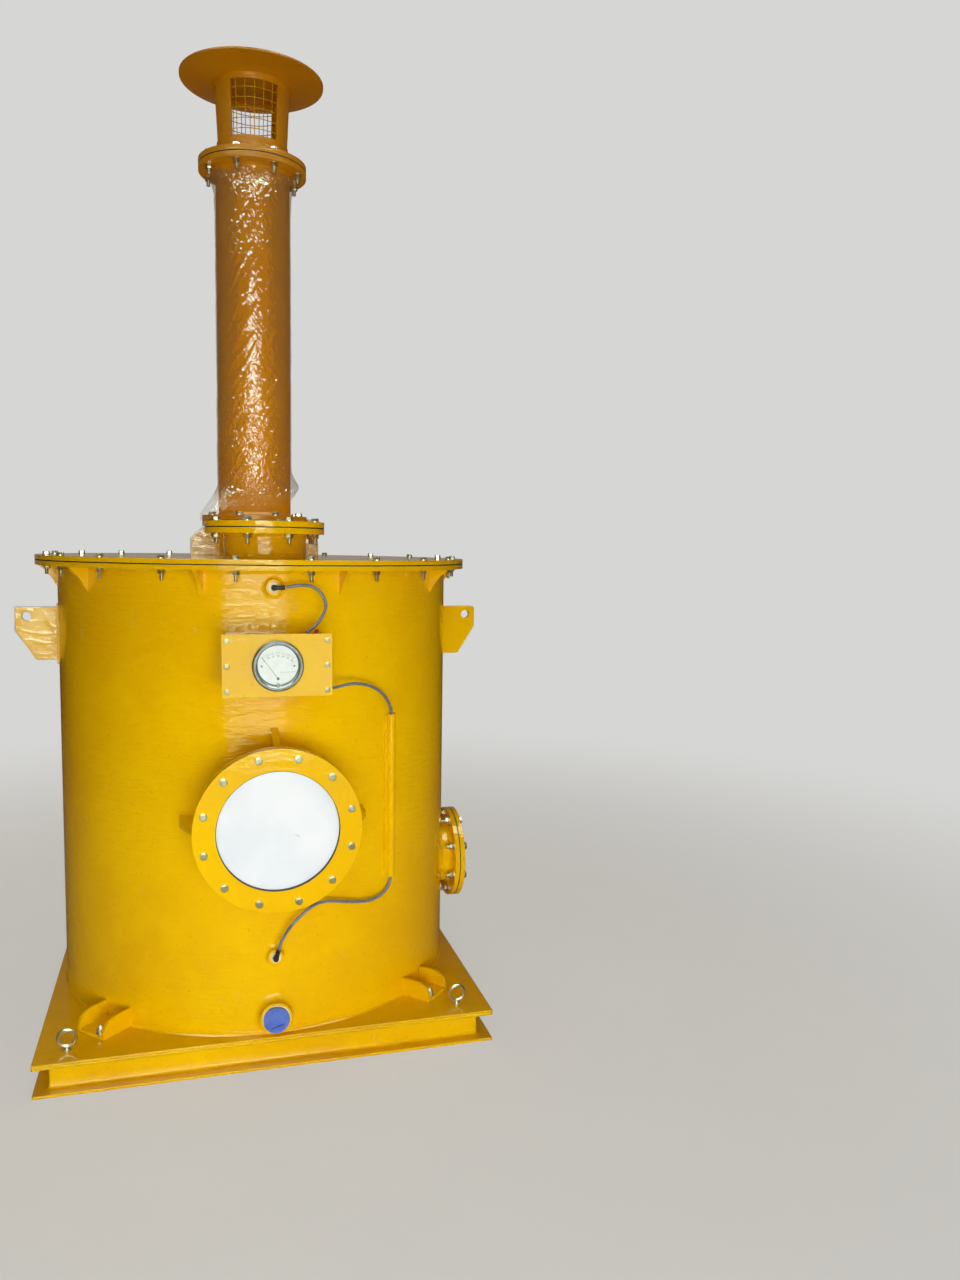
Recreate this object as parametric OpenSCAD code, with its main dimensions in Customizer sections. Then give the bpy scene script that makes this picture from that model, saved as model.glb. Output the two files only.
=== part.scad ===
// Dry scrubber: an upright round vessel of glass-fibre plastic on a square steel base.
// Air enters the side nozzle near the floor, passes the filling and leaves by the stack,
// which carries a rain cowl with a bird screen. The front has a sight window, a pressure
// gauge with its two hoses, and a plugged drain.
// Z is up and the front looks along -Y. The origin is the vessel's axis at ground level.

/* [Base] */
// Strip of base plate left outside the vessel, on each side
base_margin = 22; // [10:1:120]
// Height of the channels that carry the base plate
channel_h = 79; // [50:1:140]
// Width of the channels' flanges
channel_flange_w = 40; // [30:1:60]
// Thickness of the channels' flanges
channel_flange_t = 7; // [4:1:10]
// Thickness of the channels' webs
channel_web_t = 5; // [3:1:10]
// Radius of the hollow corners inside the channels
channel_root_r = 8; // [4:1:12]
// Thickness of the base plate
base_plate_t = 6; // [6:1:20]

/* [Vessel] */
// Outside diameter of the vessel
tank_od = 1116; // [900:1:1400]
// Height of the vessel, from its floor's underside to the top of its flange
tank_h = 1205; // [950:1:1600]
// Wall of the vessel
tank_wall = 8; // [5:1:14]
// Thickness of the vessel's floor
floor_t = 12; // [8:1:20]
// Width of the vessel's top flange, outside the wall
rim_w = 57; // [50:1:80]
// Thickness of the vessel's top flange
rim_t = 12; // [8:1:20]
// Thickness of the lid
lid_t = 12; // [8:1:20]
// Thickness of every gasket
gasket_t = 3; // [2:0.5:5]
// Number of bolts that hold the lid
lid_bolt_count = 20; // [12:2:28]
// Distance of the lid's bolts from the flange's edge
lid_bolt_edge = 30; // [20:1:36]
// Diameter of the holes for the lid's bolts
lid_bolt_hole = 11; // [9:1:14]
// Height of the gussets under the top flange
rim_gusset_h = 62; // [40:1:90]
// Width of those gussets along the flange
rim_gusset_w = 50; // [30:1:52]
// Thickness of those gussets
rim_gusset_t = 12; // [6:1:16]

/* [Nozzles on the lid] */
// Outside diameter of the stack and of the nozzles on the lid
pipe_od = 220; // [160:1:300]
// Wall of the stack and of its nozzles
pipe_wall = 7; // [4:1:12]
// Width of a pipe flange, outside its pipe
flange_w = 50; // [45:1:70]
// Thickness of a pipe flange
flange_t = 15; // [10:1:20]
// Number of bolts in a pipe flange
flange_bolt_count = 8; // [4:4:12]
// Distance of the bolts from a pipe flange's edge
flange_bolt_edge = 20; // [16:1:24]
// Diameter of the holes for those bolts
flange_bolt_hole = 14; // [9:1:18]
// Place of the filling nozzle, forward of the vessel's axis
fill_forward = 280; // [240:1:320]
// Height of the filling nozzle over the lid
fill_nozzle_h = 80; // [50:1:120]
// Place of the stack, behind the vessel's axis
stack_back = 150; // [120:1:220]
// Height of the stack's nozzle over the lid
stack_nozzle_h = 105; // [80:1:160]
// How far the stack nozzle's gussets stand out from its pipe
stack_gusset_w = 85; // [60:1:100]
// Thickness of those gussets
stack_gusset_t = 12; // [6:1:16]

/* [Stack and cowl] */
// Length of the stack over both its flanges
stack_len = 1058; // [700:1:1800]
// Height of the cowl's plain ring, above its flange
cowl_ring_h = 48; // [30:1:80]
// Height of the cowl's windows
window_h = 155; // [100:1:220]
// Height of the collar over the windows
collar_h = 18; // [10:1:40]
// How far the cowl's wall leans out over its height
cowl_flare = 11; // [0:1:20]
// Wall of the cowl
cowl_wall = 6; // [4:1:10]
// Width of the front and back windows, in degrees
wide_window = 76; // [60:1:90]
// Width of the side windows, in degrees
narrow_window = 34; // [20:1:40]
// Diameter of the cap
cap_d = 424; // [330:1:600]
// How far the cap's underside dips below its rim
cap_dip = 32; // [10:1:50]
// Thickness of the cap's rim
cap_rim_t = 6; // [4:1:12]
// How far the cap's top rises over its rim
cap_rise = 36; // [15:1:80]
// Diameter of the bird screen's wires
wire_d = 2.4; // [2:0.2:4]
// Distance between the screen's rings
screen_pitch = 28; // [22:1:40]
// Number of the screen's upright wires
screen_wires = 24; // [16:2:32]

/* [Sight window] */
// How far the window's centre lies under the middle between gauge and lower port
sight_drop = 20; // [0:1:30]
// Opening of the window
sight_id = 296; // [200:1:320]
// Outside diameter of the window's cover ring
sight_od = 405; // [360:1:440]
// Wall of the window's neck
sight_wall = 8; // [5:1:12]
// Distance of the ring's front face from the vessel
sight_depth = 130; // [90:1:160]
// Thickness of the cover ring and of the flange behind it
sight_ring_t = 12; // [8:1:16]
// Thickness of the pane
pane_t = 8; // [5:1:12]
// Number of bolts in the cover ring
sight_bolt_count = 12; // [8:2:16]
// Distance of the bolts from the ring's edge
sight_bolt_edge = 21; // [16:1:26]
// How far the neck's gussets reach past the ring, at the vessel
sight_gusset_out = 28; // [0:1:40]
// Thickness of those gussets
sight_gusset_t = 16; // [8:1:20]

/* [Pressure gauge] */
// How far the gauge's centre lies under the vessel's top
gauge_down = 235; // [200:1:240]
// Width of the gauge's panel
panel_w = 260; // [220:1:320]
// Height of the gauge's panel
panel_h = 151; // [150:1:170]
// Thickness of the panel
panel_t = 6; // [4:1:10]
// Distance of the panel's front face from the vessel
panel_depth = 118; // [95:1:140]
// Width of the box behind the panel
box_w = 236; // [200:1:240]
// Height of the box behind the panel
box_h = 140; // [130:1:140]
// Wall of that box
box_wall = 5; // [3:1:8]
// Diameter of the gauge's bezel
bezel_d = 120.65; // [100:0.05:122]
// How far the bezel stands out of the panel
bezel_h = 16; // [10:1:24]
// Diameter of the gauge's body, behind the panel
gauge_body_d = 113; // [90:1:114]
// Depth of the gauge's body, behind the panel
gauge_body_h = 40; // [30:1:50]

/* [Ports and drain] */
// How far the upper pressure port lies under the vessel's top
upper_port_down = 54; // [48:1:70]
// Height of the lower pressure port above ground
lower_port_z = 293; // [250:1:300]
// Diameter of a pressure port's boss
port_d = 40; // [30:1:50]
// How far a pressure port's boss stands out
port_len = 14; // [10:1:20]
// Diameter of the hole through a pressure port
port_bore = 8; // [5:1:10]
// Diameter of a pressure port's washer
port_washer_d = 27; // [20:1:30]
// Thickness of that washer
port_washer_t = 3; // [2:0.5:5]
// Diameter of a hose barb's body
barb_d = 12; // [10:1:14]
// Length of a hose barb's arm, from the middle of its elbow
barb_len = 26; // [20:1:32]
// Lean of the lower barb's arm from upright
lower_barb_lean = 15; // [0:1:25]
// Height of the drain above ground
drain_z = 137; // [132:1:160]
// Diameter of the drain's boss
drain_d = 80; // [70:1:90]
// How far the drain's boss stands out
drain_len = 30; // [20:1:40]
// Bore of the drain
drain_bore = 50; // [40:1:54]
// Diameter of the drain plug's head
plug_d = 66; // [60:1:70]
// Thickness of the drain plug's head
plug_h = 12; // [8:1:16]
// Width of the square recess in the plug
plug_square = 34; // [26:1:36]
// Depth of that recess
plug_square_depth = 5; // [4:1:10]
// Turn of that recess
plug_turn = 17; // [0:1:45]

/* [Hoses and conduit] */
// Diameter of a hose
hose_d = 8; // [6:0.5:10]
// Direction of the conduit from the front, in degrees toward +X
conduit_az = 34; // [30:0.5:38]
// Height of the conduit's lower end above ground
conduit_z = 448; // [440:1:460]
// Length of the conduit
conduit_len = 446; // [400:1:446]
// Width of the conduit over its side strips
conduit_w = 40; // [30:1:44]
// Thickness of the conduit
conduit_t = 4; // [2:0.5:5]
// Height of the hose's middle over the vessel, inside the conduit
conduit_lift = 8; // [7:0.5:10]

/* [Inlet] */
// Height of the inlet's axis above ground
inlet_z = 354; // [300:1:420]
// Outside diameter of the inlet's pipe
inlet_od = 188; // [140:1:230]
// Wall of the inlet's pipe
inlet_wall = 8; // [5:1:12]
// Distance of the inlet's flange face from the vessel
inlet_len = 46; // [40:1:90]
// Width of the inlet's flanges, outside the pipe
inlet_flange_w = 46; // [42:1:60]
// Thickness of the inlet's flanges
inlet_flange_t = 14; // [10:1:20]

/* [Lifting and hold-down] */
// How far the lugs' tops lie under the vessel's top
lug_down = 136; // [80:1:200]
// Height of a lug at the vessel
lug_h = 150; // [120:1:180]
// How far a lug stands out from the vessel
lug_w = 117; // [100:1:140]
// Height of a lug's outer edge
lug_edge_h = 70; // [50:1:90]
// Thickness of a lug
lug_t = 16; // [10:1:25]
// Rounding of a lug's corners
lug_r = 9; // [4:1:14]
// Diameter of the hole in a lug
lug_hole = 26; // [18:1:32]
// Distance of that hole from the lug's outer edge
lug_hole_in = 30; // [28:1:36]
// Distance of that hole from the lug's top
lug_hole_down = 26; // [24:1:34]
// Width of the pads between the lugs and the vessel
lug_pad_w = 90; // [60:1:120]
// Thickness of those pads
lug_pad_t = 6; // [4:1:10]
// Width of a hold-down bracket over its side plates
foot_w = 98; // [70:1:120]
// Thickness of a bracket's plates
foot_t = 8; // [6:1:16]
// How far a bracket reaches out from the vessel
foot_len = 88; // [80:1:110]
// Height of a bracket at the vessel
foot_h = 50; // [44:1:70]
// Height of a bracket at its outer end
foot_tip_h = 13; // [10:1:40]
// How far the round of that end reaches back
foot_round = 44; // [20:1:50]
// Diameter of the hole for a bracket's bolt
foot_hole = 14; // [10:1:18]
// Distance of a bracket's bolt from the bracket's outer end
foot_bolt_in = 14; // [13:1:45]
// How far that bolt stands to one side of the bracket's middle
foot_bolt_side = 22; // [0:1:24]
// Distance of the eye bolts from the base's left and right edges
eye_edge = 80; // [45:1:90]
// Outside diameter of an eye bolt's ring
eye_od = 50; // [45:1:55]
// Inside diameter of an eye bolt's ring
eye_id = 32; // [28:1:34]
// Diameter of an eye bolt's collar
eye_collar_d = 20; // [18:1:30]
// Height of a ring's middle over the base plate
eye_lift = 32; // [30:1:40]
// How far the eye bolts stand to the left of their even places
eye_shift = 5; // [0:1:10]

/* [Film] */
// Thickness of the stretch film's layers round the stack
film_t = 1.6; // [1:0.2:3]
// Length of stack left bare at each end of the film
film_gap = 14; // [8:1:60]

/* [Hidden] */
$fn = 96;
vessel_fn = 360; // for circles as large as the vessel

gelcoat = [0.93, 0.72, 0.02];
rubber = [0.12, 0.12, 0.13];
steel = [0.75, 0.76, 0.78];
cut = 1; // how far a cutting solid reaches past what it cuts
fit = 0.5; // clearance between a pane, plug or body and its seat
soft_gap = 0.3; // clearance under the film

// Plan sizes
tank_r = tank_od / 2;
tank_id = tank_od - 2 * tank_wall;
base_side = tank_od + 2 * base_margin;
rim_od = tank_od + 2 * rim_w;
lid_pcd = rim_od - 2 * lid_bolt_edge;
flange_od = pipe_od + 2 * flange_w;
flange_pcd = flange_od - 2 * flange_bolt_edge;
pipe_id = pipe_od - 2 * pipe_wall;

// Levels, from the ground up
plate_z = channel_h;
tank_z = plate_z + base_plate_t;
tank_top = tank_z + tank_h;
rim_z = tank_top - rim_t;
lug_top = tank_top - lug_down;
upper_port_z = tank_top - upper_port_down;
gauge_z = tank_top - gauge_down;
sight_z = (gauge_z + lower_port_z) / 2 - sight_drop;
lid_z = tank_top + gasket_t;
lid_top = lid_z + lid_t;
fill_top = lid_top + fill_nozzle_h;
nozzle_top = lid_top + stack_nozzle_h;
stack_z = nozzle_top + gasket_t;
stack_top = stack_z + stack_len;
cowl_z = stack_top + gasket_t;
window_z = cowl_z + flange_t + cowl_ring_h;
window_top = window_z + window_h;
collar_top = window_top + collar_h;
cowl_r = pipe_od / 2 - 7;
cowl_top_r = cowl_r + cowl_flare;
cap_r = cap_d / 2;
cap_slope = cap_dip / cap_r;
rim_level = collar_top + (cap_r - cowl_top_r) * cap_slope;

// Faces along the front (distances from the axis, toward -Y)
sight_face = tank_r + sight_depth;
panel_face = tank_r + panel_depth;
port_face = tank_r + port_len;
barb_axis = port_face + port_washer_t + barb_d;
drain_face = tank_r + drain_len;
pane_d = sight_id + 36;
sight_pcd = sight_od - 2 * sight_bolt_edge;
inlet_face = tank_r + inlet_len;
inlet_flange_od = inlet_od + 2 * inlet_flange_w;
inlet_pcd = inlet_flange_od - 2 * flange_bolt_edge;
inlet_id = inlet_od - 2 * inlet_wall;

// The hoses' middle lines, from the barbs and the gauge's box
upper_route = [[28, -589, 1238], [40, -589, 1240], [52, -589, 1242], [64, -589, 1243],
  [76, -589, 1243], [88, -590, 1241], [99, -591, 1236], [109, -592, 1228], [117, -594, 1218],
  [122, -596, 1206], [124, -598, 1193], [121, -600, 1180], [115, -603, 1167.5], [107, -606, 1156],
  [97, -609, 1145.5], [87.5, -612, 1137.5], [81, -613.5, 1132.5], [78, -614, 1129], [77, -614, 1125.6]];
lower_route = [[118.5, -606, 990], [132, -605, 988.5], [146, -600, 988.5], [159, -593.5, 990],
  [175, -584, 992], [193, -573, 992.5], [211, -562.5, 991], [229, -551, 987], [248, -538, 980],
  [266, -524, 970], [282, -510, 957.5], [297, -495, 941], [307, -483, 924], [314, -473, 907],
  [316, -469.5, 890], [316, -469, 870], [316, -469, 770], [316, -469, 670], [316, -469, 570],
  [316, -469, 470], [316, -470, 450], [315, -471.5, 436], [309, -477, 422], [297, -487, 411],
  [281, -499, 404], [262, -511, 401], [241, -523, 402], [219, -534, 406], [197, -545, 411.5],
  [174, -555, 418], [151, -563, 424.5], [129, -570, 428], [108, -576, 427], [88, -581, 419.5],
  [70, -585, 408], [54, -587, 394], [40, -588, 380], [29, -589, 366], [20, -589, 352],
  [12, -589, 336], [7, -589, 318]];

// ---------- shared shapes ----------

// A flat ring, standing on z = 0
module ring(outer_d, inner_d, height) {
  difference() {
    cylinder(d = outer_d, h = height);
    translate([0, 0, -cut]) cylinder(d = inner_d, h = height + 2 * cut);
  }
}

// Holes on a circle, the first pair astride the front
module bolt_holes(pcd, count, hole_d, height) {
  for (i = [0 : count - 1])
    rotate((i + 0.5) * 360 / count)
      translate([0, -pcd / 2, -cut]) cylinder(d = hole_d, h = height + 2 * cut, $fn = 24);
}

// A drilled pipe flange, standing on z = 0
module pipe_flange(bore) {
  difference() {
    cylinder(d = flange_od, h = flange_t);
    if (bore > 0) translate([0, 0, -cut]) cylinder(d = bore, h = flange_t + 2 * cut);
    bolt_holes(flange_pcd, flange_bolt_count, flange_bolt_hole, flange_t);
  }
}

// What lies inside the vessel's outer surface, to fit pieces to its curve
module vessel_body() {
  translate([0, 0, -cut]) cylinder(r = tank_r, h = tank_top + 2 * cut, $fn = vessel_fn);
}

// Turns a shape that stands on z = 0 so that it leaves the vessel at the front
module at_front(height, distance = 0) {
  translate([0, -distance, height]) rotate([90, 0, 0]) children();
}

// ---------- base ----------

// One channel with mitred ends, its flanges outward, along the front edge
module base_channel() {
  half = base_side / 2;
  inner = half - channel_flange_w - cut;
  root_x = -half + channel_flange_w - channel_web_t - channel_root_r;
  root_z = channel_flange_t + channel_root_r;
  color(gelcoat) intersection() {
    translate([-half, 0, 0]) rotate([90, 0, 90]) linear_extrude(base_side)
      polygon(concat(
        [[-half, 0], [-half + channel_flange_w, 0], [-half + channel_flange_w, channel_h],
          [-half, channel_h], [-half, channel_h - channel_flange_t]],
        [for (a = [90 : -18 : 0])
          [root_x + channel_root_r * cos(a), channel_h - root_z + channel_root_r * sin(a)]],
        [for (a = [0 : -18 : -90])
          [root_x + channel_root_r * cos(a), root_z + channel_root_r * sin(a)]],
        [[-half, channel_flange_t]]));
    translate([0, 0, -cut]) linear_extrude(channel_h + 2 * cut)
      polygon([[-half, -half], [half, -half], [inner, -inner], [-inner, -inner]]);
  }
}

module base_channel_front() { base_channel(); }
module base_channel_right() { rotate(90) base_channel(); }
module base_channel_back() { rotate(180) base_channel(); }
module base_channel_left() { rotate(270) base_channel(); }

// Where the brackets' bolts stand, on the diagonals
foot_bolt_r = tank_r + foot_len - foot_bolt_in;
function foot_side(a) = a % 180 == 45 ? foot_bolt_side : -foot_bolt_side;
eye_x = base_side / 2 - eye_edge;
eye_y = eye_x + 19;

module base_plate() {
  color(gelcoat) difference() {
    translate([-base_side / 2, -base_side / 2, plate_z]) cube([base_side, base_side, base_plate_t]);
    for (a = [45 : 90 : 315])
      rotate(a) translate([foot_bolt_r, foot_side(a), plate_z - cut])
        cylinder(d = foot_hole, h = base_plate_t + 2 * cut, $fn = 24);
  }
}

// ---------- vessel ----------

module tank_floor() {
  color(gelcoat) translate([0, 0, tank_z]) cylinder(d = tank_od, h = floor_t, $fn = vessel_fn);
}

module tank_shell() {
  shell_z = tank_z + floor_t;
  color(gelcoat) difference() {
    translate([0, 0, shell_z]) ring(tank_od, tank_id, rim_z - shell_z, $fn = vessel_fn);
    at_front(sight_z) cylinder(d = sight_id, h = tank_od);
    at_front(upper_port_z) cylinder(d = port_bore, h = tank_od, $fn = 24);
    at_front(lower_port_z) cylinder(d = port_bore, h = tank_od, $fn = 24);
    at_front(drain_z) cylinder(d = drain_bore, h = tank_od);
    translate([0, 0, inlet_z]) rotate([0, 90, 0]) cylinder(d = inlet_id, h = tank_od);
  }
}

module shell_flange() {
  color(gelcoat) translate([0, 0, rim_z]) difference() {
    ring(rim_od, tank_id, rim_t, $fn = vessel_fn);
    bolt_holes(lid_pcd, lid_bolt_count, lid_bolt_hole, rim_t);
  }
}

// A gusset's free edge from flange to wall, a little hollow: part round, part straight
function hollow_edge(w, h, hollow = 0.35, steps = 8) =
  [for (i = [0 : steps]) let (a = 90 * i / steps, t = i / steps)
    [w * (hollow * (1 - sin(a)) + (1 - hollow) * (1 - t)),
      -h * (hollow * (1 - cos(a)) + (1 - hollow) * t)]];

module rim_gusset() {
  tip = 6;
  rotate([90, 0, 0]) translate([0, 0, -rim_gusset_t / 2]) linear_extrude(rim_gusset_t)
    polygon(concat([[tank_r - cut, rim_z], [tank_r + rim_gusset_w, rim_z]],
      [for (p = hollow_edge(rim_gusset_w - tip, rim_gusset_h - tip))
        [tank_r + tip + p[0], rim_z - tip + p[1]]],
      [[tank_r + tip, rim_z - rim_gusset_h], [tank_r - cut, rim_z - rim_gusset_h]]));
}

module flange_gussets() {
  count = lid_bolt_count / 2;
  color(gelcoat) difference() {
    for (i = [0 : count - 1])
      rotate((i + 0.5) * 360 / count - 90) rim_gusset();
    vessel_body();
  }
}

module lid_gasket() {
  color(rubber) translate([0, 0, tank_top]) difference() {
    ring(rim_od - 2, tank_id, gasket_t, $fn = vessel_fn);
    bolt_holes(lid_pcd, lid_bolt_count, lid_bolt_hole, gasket_t);
  }
}

module lid() {
  color(gelcoat) translate([0, 0, lid_z]) difference() {
    cylinder(d = rim_od, h = lid_t, $fn = vessel_fn);
    bolt_holes(lid_pcd, lid_bolt_count, lid_bolt_hole, lid_t);
    translate([0, -fill_forward, -cut]) cylinder(d = pipe_id, h = lid_t + 2 * cut);
    translate([0, stack_back, -cut]) cylinder(d = pipe_id, h = lid_t + 2 * cut);
  }
}

// ---------- nozzles on the lid ----------

module lid_nozzle(height) {
  ring(pipe_od, pipe_id, height - flange_t + cut);
  translate([0, 0, height - flange_t]) pipe_flange(pipe_id);
}

module fill_nozzle() {
  color(gelcoat) translate([0, -fill_forward, lid_top]) lid_nozzle(fill_nozzle_h);
}

module fill_gasket() {
  color(rubber) translate([0, -fill_forward, fill_top]) difference() {
    ring(flange_od - 2, pipe_id, gasket_t);
    bolt_holes(flange_pcd, flange_bolt_count, flange_bolt_hole, gasket_t);
  }
}

module fill_blind_flange() {
  color(gelcoat) translate([0, -fill_forward, fill_top + gasket_t]) pipe_flange(0);
}

// A gusset that stands on the lid and chamfers in under the flange
module nozzle_gusset() {
  top = stack_nozzle_h - flange_t;
  outer = pipe_od / 2 + stack_gusset_w;
  chamfer = 38;
  rotate([90, 0, 0]) translate([0, 0, -stack_gusset_t / 2]) linear_extrude(stack_gusset_t)
    polygon([[pipe_od / 2 - pipe_wall / 2, 0], [outer, 0], [outer, top - chamfer],
      [outer - chamfer, top - 8], [outer - chamfer - 8, top], [pipe_od / 2 - pipe_wall / 2, top]]);
}

module stack_nozzle() {
  color(gelcoat) translate([0, stack_back, lid_top]) {
    lid_nozzle(stack_nozzle_h);
    for (a = [0, 90, 180]) rotate(a) nozzle_gusset();
  }
}

module stack_gasket() {
  color(rubber) translate([0, stack_back, nozzle_top]) difference() {
    ring(flange_od - 2, pipe_id, gasket_t);
    bolt_holes(flange_pcd, flange_bolt_count, flange_bolt_hole, gasket_t);
  }
}

// ---------- stack and cowl ----------

module stack_pipe() {
  color(gelcoat) translate([0, stack_back, stack_z]) ring(pipe_od, pipe_id, stack_len);
}

module stack_flanges() {
  color(gelcoat) translate([0, stack_back, stack_z]) {
    pipe_flange(pipe_od);
    translate([0, 0, stack_len - flange_t]) pipe_flange(pipe_od);
  }
}

module stack_film() {
  inner = pipe_od + 2 * soft_gap;
  color([0.9, 0.88, 0.8, 0.4])
    translate([0, stack_back, stack_z + flange_t + film_gap])
      ring(inner + 2 * film_t, inner, stack_len - 2 * flange_t - 2 * film_gap);
}

module cowl_gasket() {
  color(rubber) translate([0, stack_back, stack_top]) difference() {
    ring(flange_od - 2, pipe_id, gasket_t);
    bolt_holes(flange_pcd, flange_bolt_count, flange_bolt_hole, gasket_t);
  }
}

// How far out the cowl's outside stands at a height over its flange
cowl_wall_z = cowl_z + flange_t;
function cowl_outside(z) =
  cowl_r + cowl_flare * (z - cowl_wall_z) / (collar_top - cowl_wall_z);

// A wedge that cuts one window, centred on an angle from +X
module window_cut(angle, width) {
  reach = cap_r;
  half = width / 2;
  rotate(angle) translate([0, 0, window_z]) linear_extrude(window_h)
    polygon([[0, 0], [reach, -reach * tan(half)], [reach, reach * tan(half)]]);
}

// The wall leans out to the collar, and its top follows the cap's underside
module cowl_body() {
  inner_top = cowl_top_r - cowl_wall;
  color(gelcoat) translate([0, stack_back, 0]) {
    translate([0, 0, cowl_z]) pipe_flange(2 * (cowl_r - cowl_wall));
    difference() {
      rotate_extrude()
        polygon([[cowl_r - cowl_wall, cowl_wall_z - cut], [cowl_r, cowl_wall_z - cut],
          [cowl_r, cowl_wall_z], [cowl_top_r, collar_top],
          [inner_top, collar_top - cowl_wall * cap_slope], [cowl_r - cowl_wall, cowl_wall_z]]);
      for (a = [-90, 90]) window_cut(a, wide_window);
      for (a = [0, 180]) window_cut(a, narrow_window);
    }
  }
}

// Rings and upright wires just inside the cowl's wall, seated in its ring and collar
module bird_screen() {
  seat = 8;
  low = window_z - seat;
  high = window_top + seat;
  rings = floor((high - low) / screen_pitch);
  step = (high - low) / rings;
  color(gelcoat) translate([0, stack_back, 0]) {
    for (i = [0 : rings])
      rotate_extrude()
        translate([cowl_outside(low + i * step) - cowl_wall - wire_d / 2 - 0.1, low + i * step])
          circle(d = wire_d, $fn = 6);
    for (i = [0 : screen_wires - 1])
      rotate(i * 360 / screen_wires) {
        foot = cowl_outside(low) - cowl_wall - wire_d / 2 - 0.1;
        head = cowl_outside(high) - cowl_wall - wire_d / 2 - 0.1;
        lean = atan((head - foot) / (high - low));
        translate([foot, 0, low]) rotate([0, lean, 0])
          translate([0, 0, -wire_d / 2]) cylinder(d = wire_d, h = (high - low) / cos(lean) + wire_d, $fn = 6);
      }
  }
}

module cowl_cap() {
  color(gelcoat) translate([0, stack_back, rim_level]) rotate_extrude()
    polygon([[0, -cap_dip], [cap_r, 0], [cap_r, cap_rim_t], [0, cap_rim_t + cap_rise]]);
}

// ---------- sight window ----------

sight_flange_face = sight_depth - sight_ring_t - pane_t;
sight_neck_od = sight_id + 2 * sight_wall;

module sight_neck() {
  color(gelcoat) difference() {
    at_front(sight_z) ring(sight_neck_od, sight_id, tank_r + sight_flange_face);
    vessel_body();
  }
}

module sight_flange() {
  color(gelcoat) at_front(sight_z, tank_r + sight_flange_face - sight_ring_t) difference() {
    ring(sight_od, sight_neck_od, sight_ring_t);
    bolt_holes(sight_pcd, sight_bolt_count, lid_bolt_hole, sight_ring_t);
  }
}

module sight_gussets() {
  back = tank_r + sight_flange_face - sight_ring_t;
  color(gelcoat) difference() {
    for (a = [0 : 90 : 270])
      at_front(sight_z) rotate(a) rotate([90, 0, 0])
        translate([0, 0, -sight_gusset_t / 2]) linear_extrude(sight_gusset_t)
          polygon([[sight_id / 2, 0], [sight_od / 2 + sight_gusset_out, 0],
            [sight_od / 2 + sight_gusset_out, tank_r + 12], [sight_od / 2 - 4, back],
            [sight_id / 2, back]]);
    vessel_body();
    at_front(sight_z) translate([0, 0, -cut]) cylinder(d = sight_neck_od, h = sight_face + 2 * cut);
  }
}

module sight_gasket() {
  color(rubber) at_front(sight_z, sight_face - sight_ring_t - pane_t) difference() {
    ring(sight_od - 2, pane_d + 2 * fit, pane_t);
    bolt_holes(sight_pcd, sight_bolt_count, lid_bolt_hole, pane_t);
  }
}

module sight_glass() {
  color([0.93, 0.95, 1]) at_front(sight_z, sight_face - sight_ring_t - pane_t)
    cylinder(d = pane_d, h = pane_t);
}

module sight_cover_ring() {
  color(gelcoat) at_front(sight_z, sight_face - sight_ring_t) difference() {
    ring(sight_od, sight_id, sight_ring_t);
    bolt_holes(sight_pcd, sight_bolt_count, lid_bolt_hole, sight_ring_t);
  }
}

// ---------- pressure gauge ----------

module gauge_box() {
  depth = panel_face - panel_t;
  color(gelcoat) difference() {
    translate([-box_w / 2, -depth, gauge_z - box_h / 2]) cube([box_w, depth, box_h]);
    translate([-box_w / 2 + box_wall, -depth - cut, gauge_z - box_h / 2 + box_wall])
      cube([box_w - 2 * box_wall, depth, box_h - 2 * box_wall]);
    vessel_body();
  }
}

module gauge_panel() {
  screw_x = panel_w / 2 - 12;
  screw_step = (panel_h - 31) / 2;
  color(gelcoat) at_front(gauge_z, panel_face - panel_t) difference() {
    translate([-panel_w / 2, -panel_h / 2, 0]) cube([panel_w, panel_h, panel_t]);
    translate([0, 0, -cut]) cylinder(d = gauge_body_d + 2 * fit, h = panel_t + 2 * cut);
    for (x = [-screw_x, screw_x])
      for (i = [-1 : 1])
        translate([x, i * screw_step, -cut]) cylinder(d = 6, h = panel_t + 2 * cut, $fn = 24);
  }
}

// Closed body behind the panel and a stepped bezel in front, open to the dial
module gauge_body() {
  window_r = 50;
  dial_depth = 9;
  color([0.6, 0.61, 0.62]) at_front(gauge_z, panel_face) rotate_extrude()
    polygon([[0, -gauge_body_h], [gauge_body_d / 2, -gauge_body_h], [gauge_body_d / 2, 0],
      [bezel_d / 2, 0], [bezel_d / 2, bezel_h - 4], [bezel_d / 2 - 3, bezel_h],
      [window_r + 2, bezel_h], [window_r, bezel_h - 2], [window_r, bezel_h - dial_depth],
      [0, bezel_h - dial_depth]]);
}

module gauge_dial() {
  color("white") at_front(gauge_z, panel_face + bezel_h - 9) cylinder(r = 50 - fit, h = 1);
}

module gauge_lens() {
  color([0.85, 0.9, 0.95, 0.4]) at_front(gauge_z, panel_face + bezel_h - 5) cylinder(r = 50 - 0.1, h = 3);
}

// ---------- pressure ports and hoses ----------

module pressure_ports() {
  color(gelcoat) difference() {
    for (z = [lower_port_z, upper_port_z])
      at_front(z) cylinder(d = port_d, h = port_face);
    vessel_body();
    for (z = [lower_port_z, upper_port_z])
      at_front(z) cylinder(d = port_bore, h = port_face + cut, $fn = 24);
  }
}

module port_washers() {
  color("white") for (z = [lower_port_z, upper_port_z])
    at_front(z, port_face) ring(port_washer_d, port_bore, port_washer_t);
}

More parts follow.
